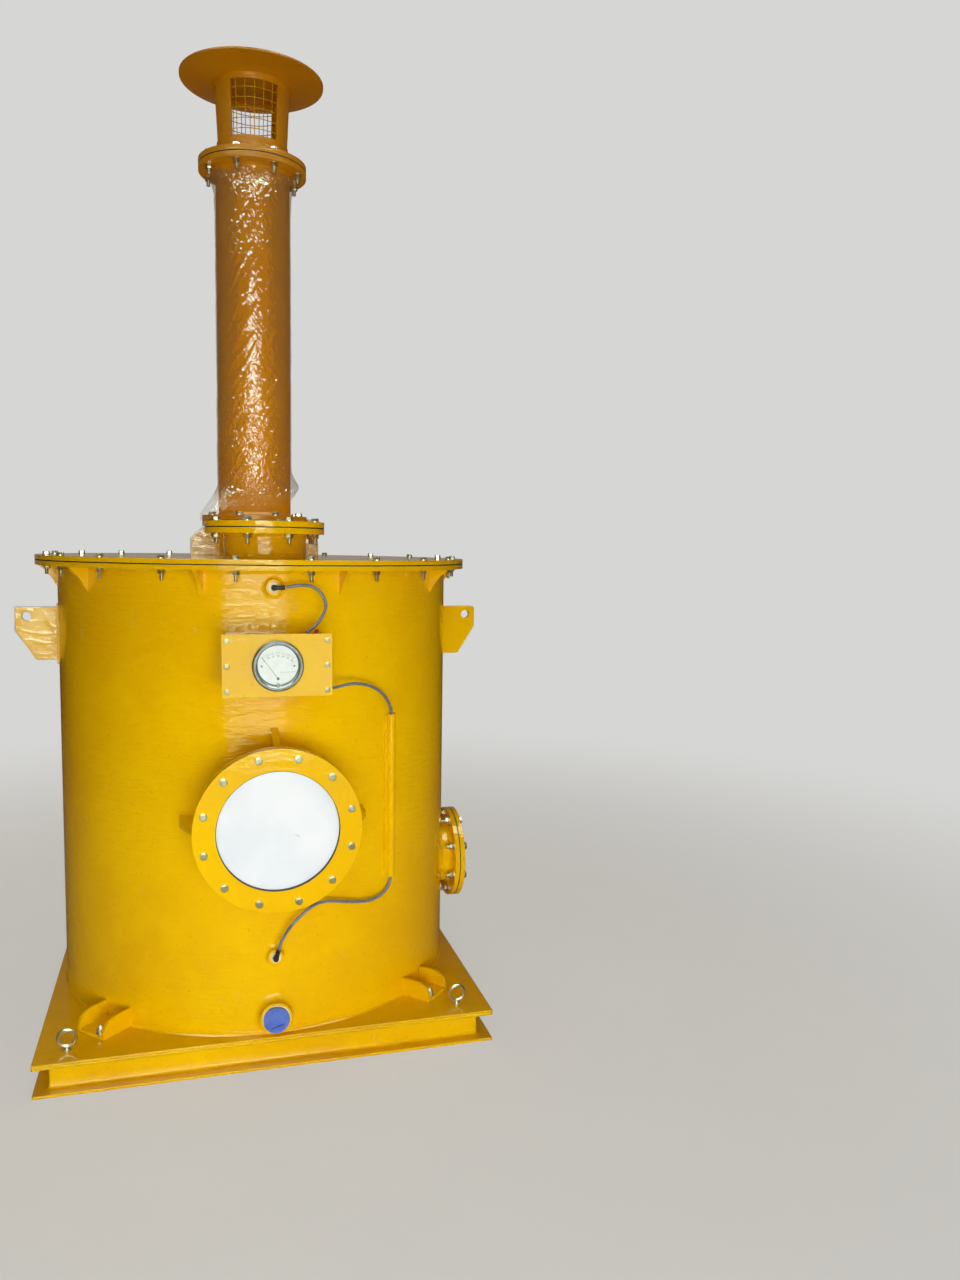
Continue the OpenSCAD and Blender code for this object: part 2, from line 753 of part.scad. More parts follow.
// An elbow whose arm leaves to the right, turned by an angle from +X toward +Z
module hose_barb(height, turn) {
  stem = barb_axis - port_face - port_washer_t;
  at_front(height, port_face + port_washer_t) cylinder(d = barb_d + 4, h = 5, $fn = 6);
  at_front(height, port_face + port_washer_t) cylinder(d = barb_d, h = stem);
  translate([0, -barb_axis, height]) {
    sphere(d = barb_d + 2);
    rotate([0, 90 - turn, 0]) cylinder(d = barb_d - 1, h = barb_len);
  }
}

module hose_barbs() {
  color(rubber) {
    hose_barb(upper_port_z, 4);
    hose_barb(lower_port_z, 90 - lower_barb_lean);
  }
}

// A round tube swept along a route: one ring of points square to it at each point
function unit(v) = v / norm(v);
function along(route, i) =
  unit(route[min(i + 1, len(route) - 1)] - route[max(i - 1, 0)]);
module tube(route, diameter) {
  sides = 8;
  last = len(route) - 1;
  points = [for (i = [0 : last])
    let (t = along(route, i), side = unit(cross(t, [0.1, -1, 0.05])), top = cross(side, t))
    for (k = [0 : sides - 1])
      route[i] + diameter / 2 * (cos(k * 360 / sides) * side + sin(k * 360 / sides) * top)];
  walls = [for (i = [0 : last - 1]) for (k = [0 : sides - 1])
    let (n = (k + 1) % sides)
    [i * sides + k, i * sides + n, (i + 1) * sides + n, (i + 1) * sides + k]];
  polyhedron(points, concat([[for (k = [sides - 1 : -1 : 0]) k]], walls,
    [[for (k = [0 : sides - 1]) last * sides + k]]));
}

module hose_upper() { color([0.45, 0.48, 0.52]) tube(upper_route, hose_d); }
module hose_lower() { color([0.45, 0.48, 0.52]) tube(lower_route, hose_d); }

// A half-round cover with side strips, open to the vessel's wall behind it
module hose_conduit() {
  inner_r = conduit_lift - 1;
  outer_r = inner_r + conduit_t;
  color(gelcoat) difference() {
    rotate(conduit_az - 90) translate([tank_r, 0, conduit_z]) rotate(90) linear_extrude(conduit_len)
      difference() {
        union() {
          translate([-conduit_w / 2, -conduit_t]) square([conduit_w, 2 * conduit_t - 1]);
          translate([0, -conduit_lift]) circle(r = outer_r);
          translate([-outer_r, -conduit_lift]) square([2 * outer_r, conduit_lift]);
        }
        translate([0, -conduit_lift]) circle(r = inner_r);
        translate([-inner_r, -conduit_lift]) square([2 * inner_r, conduit_lift + 2 * conduit_t]);
      }
    vessel_body();
  }
}

// ---------- drain ----------

module drain_boss() {
  color(gelcoat) difference() {
    at_front(drain_z) cylinder(d = drain_d, h = drain_face);
    vessel_body();
    at_front(drain_z) cylinder(d = drain_bore, h = drain_face + cut);
  }
}

module drain_plug() {
  shank = drain_len - 6;
  color([0.09, 0.2, 0.62]) at_front(drain_z, drain_face) difference() {
    union() {
      cylinder(d = plug_d, h = plug_h);
      translate([0, 0, -shank]) cylinder(d = drain_bore - fit, h = shank + cut);
    }
    rotate(plug_turn) translate([-plug_square / 2, -plug_square / 2, plug_h - plug_square_depth])
      cube([plug_square, plug_square, plug_square_depth + cut]);
  }
}

// ---------- inlet ----------

module inlet_flange() {
  difference() {
    ring(inlet_flange_od, inlet_id, inlet_flange_t);
    bolt_holes(inlet_pcd, flange_bolt_count, flange_bolt_hole, inlet_flange_t);
  }
}

module at_right(distance) {
  translate([distance, 0, inlet_z]) rotate([0, 90, 0]) children();
}

module inlet_nozzle() {
  color(gelcoat) difference() {
    union() {
      at_right(0) cylinder(d = inlet_od, h = inlet_face - cut);
      at_right(inlet_face - inlet_flange_t) inlet_flange();
    }
    vessel_body();
    at_right(0) cylinder(d = inlet_id, h = inlet_face + cut);
  }
}

module inlet_gasket() {
  color(rubber) at_right(inlet_face) difference() {
    ring(inlet_flange_od - 2, inlet_id, gasket_t);
    bolt_holes(inlet_pcd, flange_bolt_count, flange_bolt_hole, gasket_t);
  }
}

module inlet_counter_flange() {
  color(gelcoat) at_right(inlet_face + gasket_t) inlet_flange();
}

// ---------- lifting and hold-down ----------

// A lug on the right: a tapered plate with round corners, on a pad that follows the wall
module lifting_lug() {
  outer = tank_r + lug_w;
  difference() {
    union() {
      rotate([90, 0, 0]) translate([0, 0, -lug_t / 2]) linear_extrude(lug_t) hull() {
        for (p = [[outer - lug_r, lug_top - lug_r], [outer - lug_r, lug_top - lug_edge_h + lug_r],
            [tank_r + lug_w / 2, lug_top - lug_h + lug_r]])
          translate(p) circle(r = lug_r, $fn = 32);
        translate([tank_r - cut, lug_top - lug_h]) square([cut, lug_h]);
      }
      intersection() {
        translate([0, 0, lug_top - lug_h - 10])
          cylinder(r = tank_r + lug_pad_t, h = lug_h + 20, $fn = vessel_fn);
        translate([0, -lug_pad_w / 2, lug_top - lug_h - 10]) cube([outer, lug_pad_w, lug_h + 20]);
      }
    }
    vessel_body();
    translate([outer - lug_hole_in, lug_t, lug_top - lug_hole_down]) rotate([90, 0, 0])
      cylinder(d = lug_hole, h = 2 * lug_t);
  }
}

module lifting_lugs() {
  color(gelcoat) {
    lifting_lug();
    rotate(180) lifting_lug();
  }
}

// A bracket along +X: a drilled sole between two cheeks with round ends
module hold_down_bracket(bolt_y) {
  outer = tank_r + foot_len;
  difference() {
    union() {
      translate([0, -foot_w / 2, tank_z]) cube([outer, foot_w, foot_t]);
      for (y = [-foot_w / 2 + foot_t, foot_w / 2])
        translate([0, y, tank_z]) rotate([90, 0, 0]) linear_extrude(foot_t)
          polygon(concat([[0, foot_h], [0, 0], [outer, 0]], [for (a = [0 : 15 : 90])
            [outer - foot_round * (1 - cos(a)), foot_tip_h + (foot_h - foot_tip_h) * sin(a)]]));
    }
    vessel_body();
    translate([foot_bolt_r, bolt_y, tank_z - cut])
      cylinder(d = foot_hole, h = foot_t + 2 * cut, $fn = 24);
  }
}

module hold_down_brackets() {
  color(gelcoat) for (a = [45 : 90 : 315]) rotate(a) hold_down_bracket(foot_side(a));
}

module eye_bolt() {
  collar_h = 4;
  wire = (eye_od - eye_id) / 2;
  cylinder(d = eye_collar_d, h = collar_h);
  cylinder(d1 = eye_collar_d - 2, d2 = wire + 2, h = eye_lift - eye_od / 2 + wire / 2);
  translate([0, 0, eye_lift]) rotate([90, 0, 0])
    rotate_extrude() translate([eye_od / 2 - wire / 2, 0]) circle(d = wire);
}

module eye_bolts() {
  color(steel) for (x = [-eye_x, eye_x]) for (y = [-eye_y, eye_y])
    translate([x - eye_shift, y, tank_z]) eye_bolt();
}

base_channel_front();
base_channel_back();
base_channel_left();
base_channel_right();
base_plate();
tank_floor();
tank_shell();
shell_flange();
flange_gussets();
lid_gasket();
lid();
fill_nozzle();
fill_gasket();
fill_blind_flange();
stack_nozzle();
stack_gasket();
stack_pipe();
stack_flanges();
stack_film();
cowl_gasket();
cowl_body();
bird_screen();
cowl_cap();
sight_neck();
sight_flange();
sight_gussets();
sight_gasket();
sight_glass();
sight_cover_ring();
gauge_box();
gauge_panel();
gauge_body();
gauge_dial();
gauge_lens();
pressure_ports();
port_washers();
hose_barbs();
hose_upper();
hose_lower();
hose_conduit();
drain_boss();
drain_plug();
inlet_nozzle();
inlet_gasket();
inlet_counter_flange();
lifting_lugs();
hold_down_brackets();
eye_bolts();
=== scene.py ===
# %% [markdown]
# # A dry scrubber, dressed in Blender
# A dry scrubber is an upright round vessel of glass-fibre plastic. Foul air enters near the
# floor, passes a dry filling and leaves by the stack under a rain cowl. The packed CAD model
# already holds every laminated and machined shape at its true size. This script gives those
# shapes their glossy yellow gelcoat, and adds what a CAD part leaves out: bolts with their
# threads, the soft edges where one moulding is laminated to the next, the hoses, the gauge's
# dial and the clear wrapping film round the stack.

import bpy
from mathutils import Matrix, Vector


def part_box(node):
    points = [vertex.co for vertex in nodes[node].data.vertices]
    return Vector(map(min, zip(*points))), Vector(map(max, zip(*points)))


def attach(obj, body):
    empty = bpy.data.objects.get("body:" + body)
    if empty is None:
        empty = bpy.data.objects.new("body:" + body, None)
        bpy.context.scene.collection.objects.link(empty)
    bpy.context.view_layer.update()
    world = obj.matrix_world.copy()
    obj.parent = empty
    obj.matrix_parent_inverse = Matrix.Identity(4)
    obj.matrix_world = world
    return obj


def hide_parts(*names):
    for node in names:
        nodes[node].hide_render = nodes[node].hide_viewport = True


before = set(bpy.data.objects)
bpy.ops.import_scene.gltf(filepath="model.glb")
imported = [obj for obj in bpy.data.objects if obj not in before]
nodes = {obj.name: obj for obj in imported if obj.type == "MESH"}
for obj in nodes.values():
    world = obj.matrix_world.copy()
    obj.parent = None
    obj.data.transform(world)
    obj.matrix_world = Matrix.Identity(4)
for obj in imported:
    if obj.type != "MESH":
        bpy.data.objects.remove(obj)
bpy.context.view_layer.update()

# %% Blender's own modules
import math
import random

import bmesh
import bpy
from mathutils import Matrix, Vector, noise

scene = bpy.context.scene
scene.view_settings.view_transform = "Standard"
MM = 0.001  # the CAD is drawn in millimetres, and Blender works in metres

# %% [markdown]
# ## The camera
# The unit is seen by a standing person about three metres in front of it and a little to its
# left. The camera is turned 16 degrees to the right, so the unit stands left of the middle.

# %% Place the camera
heading, tilt, roll = math.radians(-16.374), math.radians(-5.4546), math.radians(0.8629)
camera = bpy.data.objects.new("camera", bpy.data.cameras.new("camera"))
camera.data.lens = 27.777
camera.data.sensor_width = 36
scene.collection.objects.link(camera)
scene.camera = camera
camera.matrix_world = (
    Matrix.Translation((-0.19704, -3.0497, 1.34669))
    @ Matrix.Rotation(heading, 4, "Z")
    @ Matrix.Rotation(math.pi / 2 + tilt, 4, "X")
    @ Matrix.Rotation(roll, 4, "Z")
)
print("camera at", [round(v, 3) for v in camera.location])

# %% [markdown]
# ## The hoses
# Two pressure lines of soft blue-grey tube, 8 mm across, run from the vessel to the gauge's
# box. Each is one smooth curve through the points of its route: out of its barb, over in a
# sagging arc, and back into the unit. The long one passes behind the yellow conduit.

# %% Draw each hose along its route
hose_d = 8 * MM
upper_route = [
    (28, -589, 1238), (40, -589, 1240), (52, -589, 1242), (64, -589, 1243), (76, -589, 1243),
    (88, -590, 1241), (99, -591, 1236), (109, -592, 1228), (117, -594, 1218), (122, -596, 1206),
    (124, -598, 1193), (121, -600, 1180), (115, -603, 1167.5), (107, -606, 1156),
    (97, -609, 1145.5), (87.5, -612, 1137.5), (81, -613.5, 1132.5), (78, -614, 1129),
    (77, -614, 1125.6),
]
lower_route = [
    (118.5, -606, 990), (132, -605, 988.5), (146, -600, 988.5), (159, -593.5, 990),
    (175, -584, 992), (193, -573, 992.5), (211, -562.5, 991), (229, -551, 987), (248, -538, 980),
    (266, -524, 970), (282, -510, 957.5), (297, -495, 941), (307, -483, 924), (314, -473, 907),
    (316, -469.5, 890), (316, -469, 870), (316, -469, 770), (316, -469, 670), (316, -469, 570),
    (316, -469, 470), (316, -470, 450), (315, -471.5, 436), (309, -477, 422), (297, -487, 411),
    (281, -499, 404), (262, -511, 401), (241, -523, 402), (219, -534, 406), (197, -545, 411.5),
    (174, -555, 418), (151, -563, 424.5), (129, -570, 428), (108, -576, 427), (88, -581, 419.5),
    (70, -585, 408), (54, -587, 394), (40, -588, 380), (29, -589, 366), (20, -589, 352),
    (12, -589, 336), (7, -589, 318),
]


def hose(name, route, node):
    """A round hose on one smooth open curve, which stands for its CAD node."""
    curve = bpy.data.curves.new(name, "CURVE")
    curve.dimensions = "3D"
    curve.bevel_depth = 1.0  # times each knot's radius, which the curve's own box is made with
    curve.bevel_resolution = 4
    curve.resolution_u = 4
    curve.use_fill_caps = True
    line = curve.splines.new("BEZIER")
    last = len(route) - 1
    line.bezier_points.add(last)
    for i, knot in enumerate(line.bezier_points):
        near = route[i], route[max(i - 1, 0)], route[min(i + 1, last)]
        here, before, after = (Vector(point) * MM for point in near)
        knot.handle_left_type = knot.handle_right_type = "FREE"
        knot.co, knot.radius = here, hose_d / 2
        knot.handle_left = here - (after - before).normalized() * (here - before).length / 3
        knot.handle_right = here + (after - before).normalized() * (after - here).length / 3
    piece = bpy.data.objects.new(name, curve)
    scene.collection.objects.link(piece)
    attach(piece, "root")
    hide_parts(node)
    return piece


upper_hose = hose("upper_hose", upper_route, "hose_upper")
lower_hose = hose("lower_hose", lower_route, "hose_lower")

# %% [markdown]
# ## Materials in plain Python
# Blender mixes its patterns with nodes, and a long chain of them is hard to read. Here one
# small class stands for a socket. Sums and products of two such sockets add the Math nodes
# that work them out, so a mask can be written as `1 - mask`. Its node() method adds any other
# node: the settings come first, then the values or links of its sockets. The functions after
# it add the four nodes that nearly every material here ends with.

# %% One class for a socket and its sums


class Wire:
    """An output socket of a material's nodes, with arithmetic."""

    def __init__(self, tree, socket=None):
        self.tree, self.socket = tree, socket

    def node(self, kind, inputs=None, out=0, **settings):
        made = self.tree.nodes.new("ShaderNode" + kind)
        for key, value in settings.items():
            setattr(made, key, value)
        for key, value in (inputs or {}).items():
            if isinstance(value, Wire):
                self.tree.links.new(value.socket, made.inputs[key])
            else:
                made.inputs[key].default_value = value
        return Wire(self.tree, made.outputs[out] if len(made.outputs) else None)

    def other(self, name):
        """Another output of this socket's node."""
        return Wire(self.tree, self.socket.node.outputs[name])

    def math(self, operation, a, b, clamp=False):
        return self.node("Math", {0: a, 1: b}, operation=operation, use_clamp=clamp)

    def __add__(self, other):
        return self.math("ADD", self, other)

    def __sub__(self, other):
        return self.math("SUBTRACT", self, other)

    def __rsub__(self, other):
        return self.math("SUBTRACT", other, self)

    def __mul__(self, other):
        return self.math("MULTIPLY", self, other)

    __radd__, __rmul__ = __add__, __mul__

    def __abs__(self):
        return self.node("Math", {0: self}, operation="ABSOLUTE")

    def clamped(self):
        return self.math("ADD", self, 0.0, clamp=True)

    def capped(self, most):
        return self.math("MINIMUM", self, most)

    def between(self, low, high):
        """0 below low, 1 above high, and smooth from one to the other."""
        return self.node("MapRange", {"Value": self, "From Min": low, "From Max": high},
                         interpolation_type="SMOOTHSTEP")

    def blend(self, colour_a, colour_b):
        """Colour a where this is 0, and colour b where it is 1."""
        return self.node("Mix", {0: self, 6: colour_a, 7: colour_b}, out=2, data_type="RGBA")

    def noise(self, scale, detail=2.0, roughness=0.5, distortion=0.0):
        """A cloudy pattern, where this socket holds the place. Scale is in patterns a metre."""
        return self.node("TexNoise", {"Vector": self, "Scale": scale, "Detail": detail,
                                      "Roughness": roughness, "Distortion": distortion})

    def stretched(self, scale, turn=(0, 0, 0), shift=(0, 0, 0)):
        """The same place, stretched, then turned and shifted."""
        return self.node("Mapping", {"Vector": self, "Location": shift, "Rotation": turn,
                                     "Scale": scale})


def new_material(name):
    """A material, a Wire to add its nodes with, and where a point is on the unit, in metres."""
    material = bpy.data.materials.new(name)
    material.use_nodes = True
    material.node_tree.nodes.clear()
    start = Wire(material.node_tree)
    return material, start, start.node("TexCoord", out="Object")


def surface(start, shader):
    """Ends a material with the shader that its surface shows."""
    start.node("OutputMaterial", {"Surface": shader})


def bumped(start, height, **more):
    """A normal that follows a height given in metres."""
    return start.node("Bump", {"Strength": 1, "Distance": 1, "Height": height, **more})


def principled(start, colour, roughness, **more):
    return start.node("BsdfPrincipled", {"Base Color": colour, "Roughness": roughness, **more})


def mixed(start, share, first, second):
    """The first shader where the share is 0, and the second where it is 1."""
    return start.node("MixShader", {0: share, 1: first, 2: second})


def tone(red, green, blue):
    """A colour written as it looks, 0 to 255, in the scene's linear light."""
    return tuple((c / 12.92 if c <= 0.04045 else ((c + 0.055) / 1.055) ** 2.4)
                 for c in (red / 255, green / 255, blue / 255)) + (1.0,)


print("one class with", sum(n.startswith("__") for n in vars(Wire)), "special methods")

# %% [markdown]
# ## Yellow gelcoat
# The vessel, its nozzles and the stack are laid up by hand and finished with a chrome-yellow
# gelcoat. It is glossy and slightly wavy, so straight things reflect in it as ragged streaks.
# Three patterns do it: broad waves for the hand lay-up, short ripples left by the brush,
# and a slow drift of the colour. The Bevel node rounds the look of the CAD's sharp edges.
# The base and the panel are flatter, and the stack is duller, above all inside its film.
# The stack's two coats are also a deeper orange. That is painted shade, as the stack stands
# higher in less light.

# %% Mix the gelcoat


def gelcoat_material(name, light, dark, waves=0.0010, ripples=0.0018, shine=0.05, edge=0.0025,
                     bend=1.52):
    """Gelcoat with waves, ripples and rounded edges of those sizes in metres."""
    material, start, place = new_material(name)
    drift = place.noise(1.7, 2)
    cloud = place.noise(9, 4, 0.6)
    colour = (0.65 * drift + 0.35 * cloud).between(0.36, 0.66).blend(tone(*light), tone(*dark))
    specks = place.noise(160, 1).between(0.70, 0.76)
    scuffs = place.stretched((1, 1, 0.25)).noise(48, 3, 0.62).between(0.67, 0.74)
    colour = (0.22 * scuffs).blend(colour, tone(222, 196, 120))
    colour = (0.30 * specks).blend(colour, tone(150, 96, 10))
    roughness = shine + 0.06 * cloud.between(0.40, 0.72) + 0.16 * scuffs
    lay_up = place.noise(5.5, 1.5, 0.45) * waves
    runs = place.stretched((1, 1, 0.45)).noise(17, 1) * (waves * 0.22)
    brushed = place.stretched((0.36, 0.36, 1.5)).noise(44, 2, 0.55, 0.8) * ripples
    rounded = start.node("Bevel", {"Radius": edge}, samples=4)
    bumps = bumped(start, lay_up + runs + brushed, Normal=rounded)
    surface(start, principled(start, colour, roughness, Normal=bumps, IOR=bend))
    return material


gelcoat = gelcoat_material("gelcoat", (245, 196, 0), (235, 180, 0))
base_coat = gelcoat_material("base_coat", (242, 196, 0), (228, 176, 0),
                             waves=0.0006, ripples=0.0006, shine=0.08, edge=0.0055)
panel_coat = gelcoat_material("panel_coat", (245, 196, 0), (238, 186, 0), waves=0.0004,
                              ripples=0.0003)
# painted shade: the stack's and the cowl's coats are a deeper orange than the vessel's
shaded_stack_coat = gelcoat_material("shaded_stack_coat", (240, 168, 0), (228, 152, 0), shine=0.32)
shaded_wrapped_coat = gelcoat_material("shaded_wrapped_coat", (246, 170, 0), (235, 155, 0), shine=0.75,
                                bend=1.15)
coats = [gelcoat, base_coat, panel_coat, shaded_stack_coat, shaded_wrapped_coat]
print("mixed", ", ".join(coat.name for coat in coats))

# %% [markdown]
# ## Steel, rubber and plastics
# Stainless fasteners are bright with fine brushed lines. Rubber and hoses are matt to satin,
# with a faint mottle. None of them is one flat colour: roughness and a light bump vary too.

# %% Mix the metals


def metal_material(name, light, dark, shine, brush_scale):
    """Metal with fine brushed lines that lie level, closer together up and down."""
    material, start, place = new_material(name)
    brushed = place.stretched((1, 1, 14)).noise(brush_scale, 2, 0.6)
    tarnish = place.noise(60, 3, 0.6)
    colour = tarnish.between(0.35, 0.7).blend(tone(*light), tone(*dark))
    surface(start, principled(start, colour, shine + 0.14 * brushed, Metallic=1.0,
                              Normal=bumped(start, brushed * 0.00003)))
    return material


stainless = metal_material("stainless_steel", (232, 229, 222), (204, 200, 191), 0.24, 420)
bezel_metal = metal_material("bezel_metal", (142, 140, 152), (122, 120, 132), 0.20, 500)
# painted reflection: stainless steel in a dimmer cream tone, for a warm room's reflection
steel_painted_warm_reflection = metal_material("steel_painted_warm_reflection", (206, 196, 174), (184, 172, 148), 0.30, 420)
print("mixed", stainless.name, bezel_metal.name, "and", steel_painted_warm_reflection.name)

# %% Mix the plastics and the rubber


def plastic_material(name, light, dark, shine, grain_scale, grain=0.00004):
    """A mottled plastic with a fine grain: how many a metre, and how high in metres."""
    material, start, place = new_material(name)
    mottle = place.noise(38, 3, 0.6)
    fine = place.noise(grain_scale, 2)
    colour = mottle.between(0.35, 0.68).blend(tone(*light), tone(*dark))
    surface(start, principled(start, colour, shine + 0.12 * mottle,
                              Normal=bumped(start, fine * grain)))
    return material


rubber = plastic_material("gasket_rubber", (44, 42, 40), (30, 28, 27), 0.55, 700)
hose_plastic = plastic_material("hose_plastic", (122, 128, 144), (98, 103, 118), 0.22, 900)
barb_plastic = plastic_material("barb_plastic", (46, 42, 36), (28, 26, 24), 0.30, 800)
blue_plastic = plastic_material("blue_plastic", (92, 122, 212), (70, 100, 194), 0.26, 900)
red_plastic = plastic_material("red_plastic", (196, 34, 20), (160, 22, 14), 0.32, 900)
washer_plastic = plastic_material("washer_plastic", (236, 230, 206), (214, 205, 172), 0.38, 800)
print("mixed the rubber and five plastics")

# %% [markdown]
# ## The clear parts
# The sight window's pane is a pale sheet that still wears its protective skin, so it looks
# milky and blue-white, with one small scratch and a little dust. The gauge's cover is clear:
# it mixes a mirror into a see-through shader by the Fresnel curve. The curve is capped, since
# it reaches 1 on the back of a solid piece, and the dial would then be hidden from the side.

# %% Mix the pane, the dial's white and the gauge's cover


def middle_of(node):
    """The middle of a CAD node's box, in metres."""
    low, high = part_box(node)
    return (low + high) / 2


def face_of(node, axis, side):
    """The middle of that box's low face along an axis, or of its high one where side is 1."""
    middle = middle_of(node)
    middle[axis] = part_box(node)[side][axis]
    return middle


def span_of(node, axis):
    """How far a CAD node reaches along an axis, in millimetres."""
    low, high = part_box(node)
    return (high[axis] - low[axis]) / MM


def pane_material():
    """A milky pane. Its scratch is a thin ellipse round one spot, leaning down to the right."""
    scratch_x, scratch_z = 0.046, -0.016  # from the pane's middle, in metres
    scratch_long, scratch_wide = 0.013, 0.0022
    material, start, place = new_material("milky_pane")
    middle = middle_of("sight_glass")
    cloud = place.noise(6, 3, 0.55)
    colour = cloud.between(0.35, 0.7).blend(tone(238, 244, 252), tone(228, 236, 247))
    local = place.stretched((1, 1, 1), shift=(-(middle.x + scratch_x), 0, -(middle.z + scratch_z)))
    leaning = local.stretched((1, 1, 1), turn=(0, math.radians(-32), 0))
    across = start.node("SeparateXYZ", {0: leaning}, out="Z")
    reach = (abs(across.other("X")) * (1 / scratch_long) + abs(across) * (1 / scratch_wide)
             + place.noise(420, 2) * 0.5)
    scratch = 1 - reach.between(0.75, 1.2)
    dust = place.noise(330, 2, 0.6).between(0.68, 0.75)
    colour = (0.55 * scratch).blend(colour, tone(150, 158, 166))
    colour = (0.10 * dust).blend(colour, tone(170, 170, 160))
    surface(start, principled(start, colour, 0.10 + 0.08 * cloud + 0.3 * scratch,
                              Normal=bumped(start, place.noise(3.5, 1) * 0.0006)))
    return material


def cover_material():
    """The gauge's clear cover."""
    most_glint = 0.16
    material, start, place = new_material("clear_cover")
    haze = place.noise(90, 2).between(0.45, 0.75)
    mirror = principled(start, (1, 1, 1, 1), 0.04 + 0.06 * haze, Metallic=1.0)
    clear = start.node("BsdfTransparent", {"Color": (0.97, 0.98, 0.98, 1)})
    glint = start.node("Fresnel", {"IOR": 1.49}).capped(most_glint)
    surface(start, mixed(start, glint, clear, mirror))
    return material


milky_pane = pane_material()
clear_cover = cover_material()
dial_white = plastic_material("dial_white", (247, 248, 250), (238, 240, 244),
                              0.42, 600, grain=0.00001)
dial_ink = plastic_material("dial_ink", (70, 74, 82), (52, 55, 62), 0.5, 600, grain=0.00001)
print("mixed", ", ".join(m.name for m in (milky_pane, clear_cover, dial_white, dial_ink)))

# %% [markdown]
# ## Dress the CAD's own shapes
# A CAD node keeps its mesh. It gets its finish by putting a material into its object's slot.
# What the list doesn't name is plain gelcoat: the vessel, its nozzles, the lid and the lugs.

# %% Give every CAD node its finish
finishes = [
    (base_coat, "base_channel_front base_channel_back base_channel_left base_channel_right"),
    (base_coat, "base_plate"), (panel_coat, "gauge_panel sight_cover_ring"),
    (shaded_wrapped_coat, "stack_pipe"), (shaded_stack_coat, "stack_flanges cowl_body cowl_cap"),
    (rubber, "lid_gasket fill_gasket stack_gasket cowl_gasket inlet_gasket sight_gasket"),
    (milky_pane, "sight_glass"), (bezel_metal, "gauge_body"), (dial_white, "gauge_dial"),
    (clear_cover, "gauge_lens"), (washer_plastic, "port_washers"), (barb_plastic, "hose_barbs"),
    (blue_plastic, "drain_plug"), (stainless, "eye_bolts"),
]
finish_of = {name: finish for finish, names in finishes for name in names.split()}
for name, node in nodes.items():
    node.data.materials.clear()
    node.data.materials.append(finish_of.get(name, gelcoat))
for piece in (upper_hose, lower_hose):
    piece.data.materials.append(hose_plastic)
print("dressed", len(nodes), "CAD nodes")

# %% [markdown]
# ## Small shapes from bmesh operators
# Every fastener is turned or pressed, so its shape is a profile spun round an axis, or a
# six-sided prism with its corners taken off. A bmesh is Blender's mesh under construction.
# The helpers below make one such shape at the origin, stamp copies of it where they belong,
# and hand the result over as one finished piece.

# %% Helpers: turn a profile, stamp copies, finish a piece
as_made = Matrix.Identity(4)


def spun(angle, axis="Z"):
    return Matrix.Rotation(angle, 4, axis)


def turned(profile, steps):
    """A closed section of (radius, height) pairs, in millimetres, turned round Z."""
    shape = bmesh.new()
    points = [shape.verts.new((r * MM, 0, z * MM)) for r, z in profile]
    edges = [shape.edges.new(pair) for pair in zip(points, points[1:] + points[:1])]
    bmesh.ops.spin(shape, geom=points + edges, cent=(0, 0, 0), axis=(0, 0, 1),
                   angle=2 * math.pi, steps=steps, use_merge=True)
    bmesh.ops.remove_doubles(shape, verts=shape.verts, dist=1e-6)
    bmesh.ops.recalc_face_normals(shape, faces=shape.faces)
    return shape


def hexagon(across, height, base, both=False):
    """A hexagon head or nut with its corners turned off, standing on a height, in millimetres."""
    corner = across / 2 / math.cos(math.pi / 6) * MM
    shape = bmesh.new()
    bmesh.ops.create_cone(shape, cap_ends=True, segments=6, radius1=corner, radius2=corner,
                          depth=height * MM,
                          matrix=Matrix.Translation((0, 0, (base + height / 2) * MM)))
    ends = [f for f in shape.faces if f.normal.z > 0.9 or (both and f.normal.z < -0.9)]
    bmesh.ops.bevel(shape, geom=[e for f in ends for e in f.edges], offset=across * 0.055 * MM,
                    affect="EDGES", segments=2, profile=0.5, material=-1)
    return shape


def stamp(target, shape, matrices):
    """Adds a copy of a shape to the target at each matrix, and frees the shape."""
    sheet = bpy.data.meshes.new("stamp")
    shape.to_mesh(sheet)
    shape.free()
    for matrix in matrices:
        first = len(target.verts)
        target.from_mesh(sheet)
        target.verts.ensure_lookup_table()
        bmesh.ops.transform(target, matrix=matrix, verts=target.verts[first:])
    bpy.data.meshes.remove(sheet)


def finish_piece(shape, name, material, sharp=32):
    """Makes the bmesh an object that rides on the unit, smooth but for its sharp edges."""
    mesh = bpy.data.meshes.new(name)
    shape.to_mesh(mesh)
    shape.free()
    mesh.shade_smooth()
    mesh.set_sharp_from_angle(angle=math.radians(sharp))
    mesh.materials.append(material)
    piece = bpy.data.objects.new(name, mesh)
    scene.collection.objects.link(piece)
    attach(piece, "root")
    print(name, len(mesh.polygons), "faces")
    return piece


def stamped_piece(name, shape, matrices, material=stainless):
    """A piece that is copies of one shape."""
    whole = bmesh.new()
    stamp(whole, shape, matrices)
    return finish_piece(whole, name, material)


# %% [markdown]
# ## Bolts
# The lid, the pipe flanges, the inlet and the sight window are all bolted. A bolt set is a
# head on its washer on one side, and on the other a washer, a nut and the thread's end. The
# thread is turned as plain grooves one pitch apart, which looks like a thread at this size.
# Sizes are in millimetres but for places, which come from the CAD's boxes in metres.

# %% Turn a bolt set
lucky = random.Random(11)
head_across, pitch_of = {6: 10, 10: 16, 12: 19}, {6: 1, 10: 1.5, 12: 1.75}  # by bolt size
nut_share, head_share, washer_share = 0.82, 0.64, 0.2  # heights, as shares of the bolt's size
rod_steps = 14


def thread_profile(radius, pitch, low, high):
    """Half a section of a threaded rod, with a small chamfer at its low end."""
    steps = int((high - low) / (pitch / 2))
    flank = [(radius - (0.0 if i % 2 else 0.58 * pitch),
              low + 0.6 + (high - low - 0.6) * i / steps) for i in range(steps + 1)]
    return [(0, high)] + flank[::-1] + [(radius - 1.2, low), (0, low)]


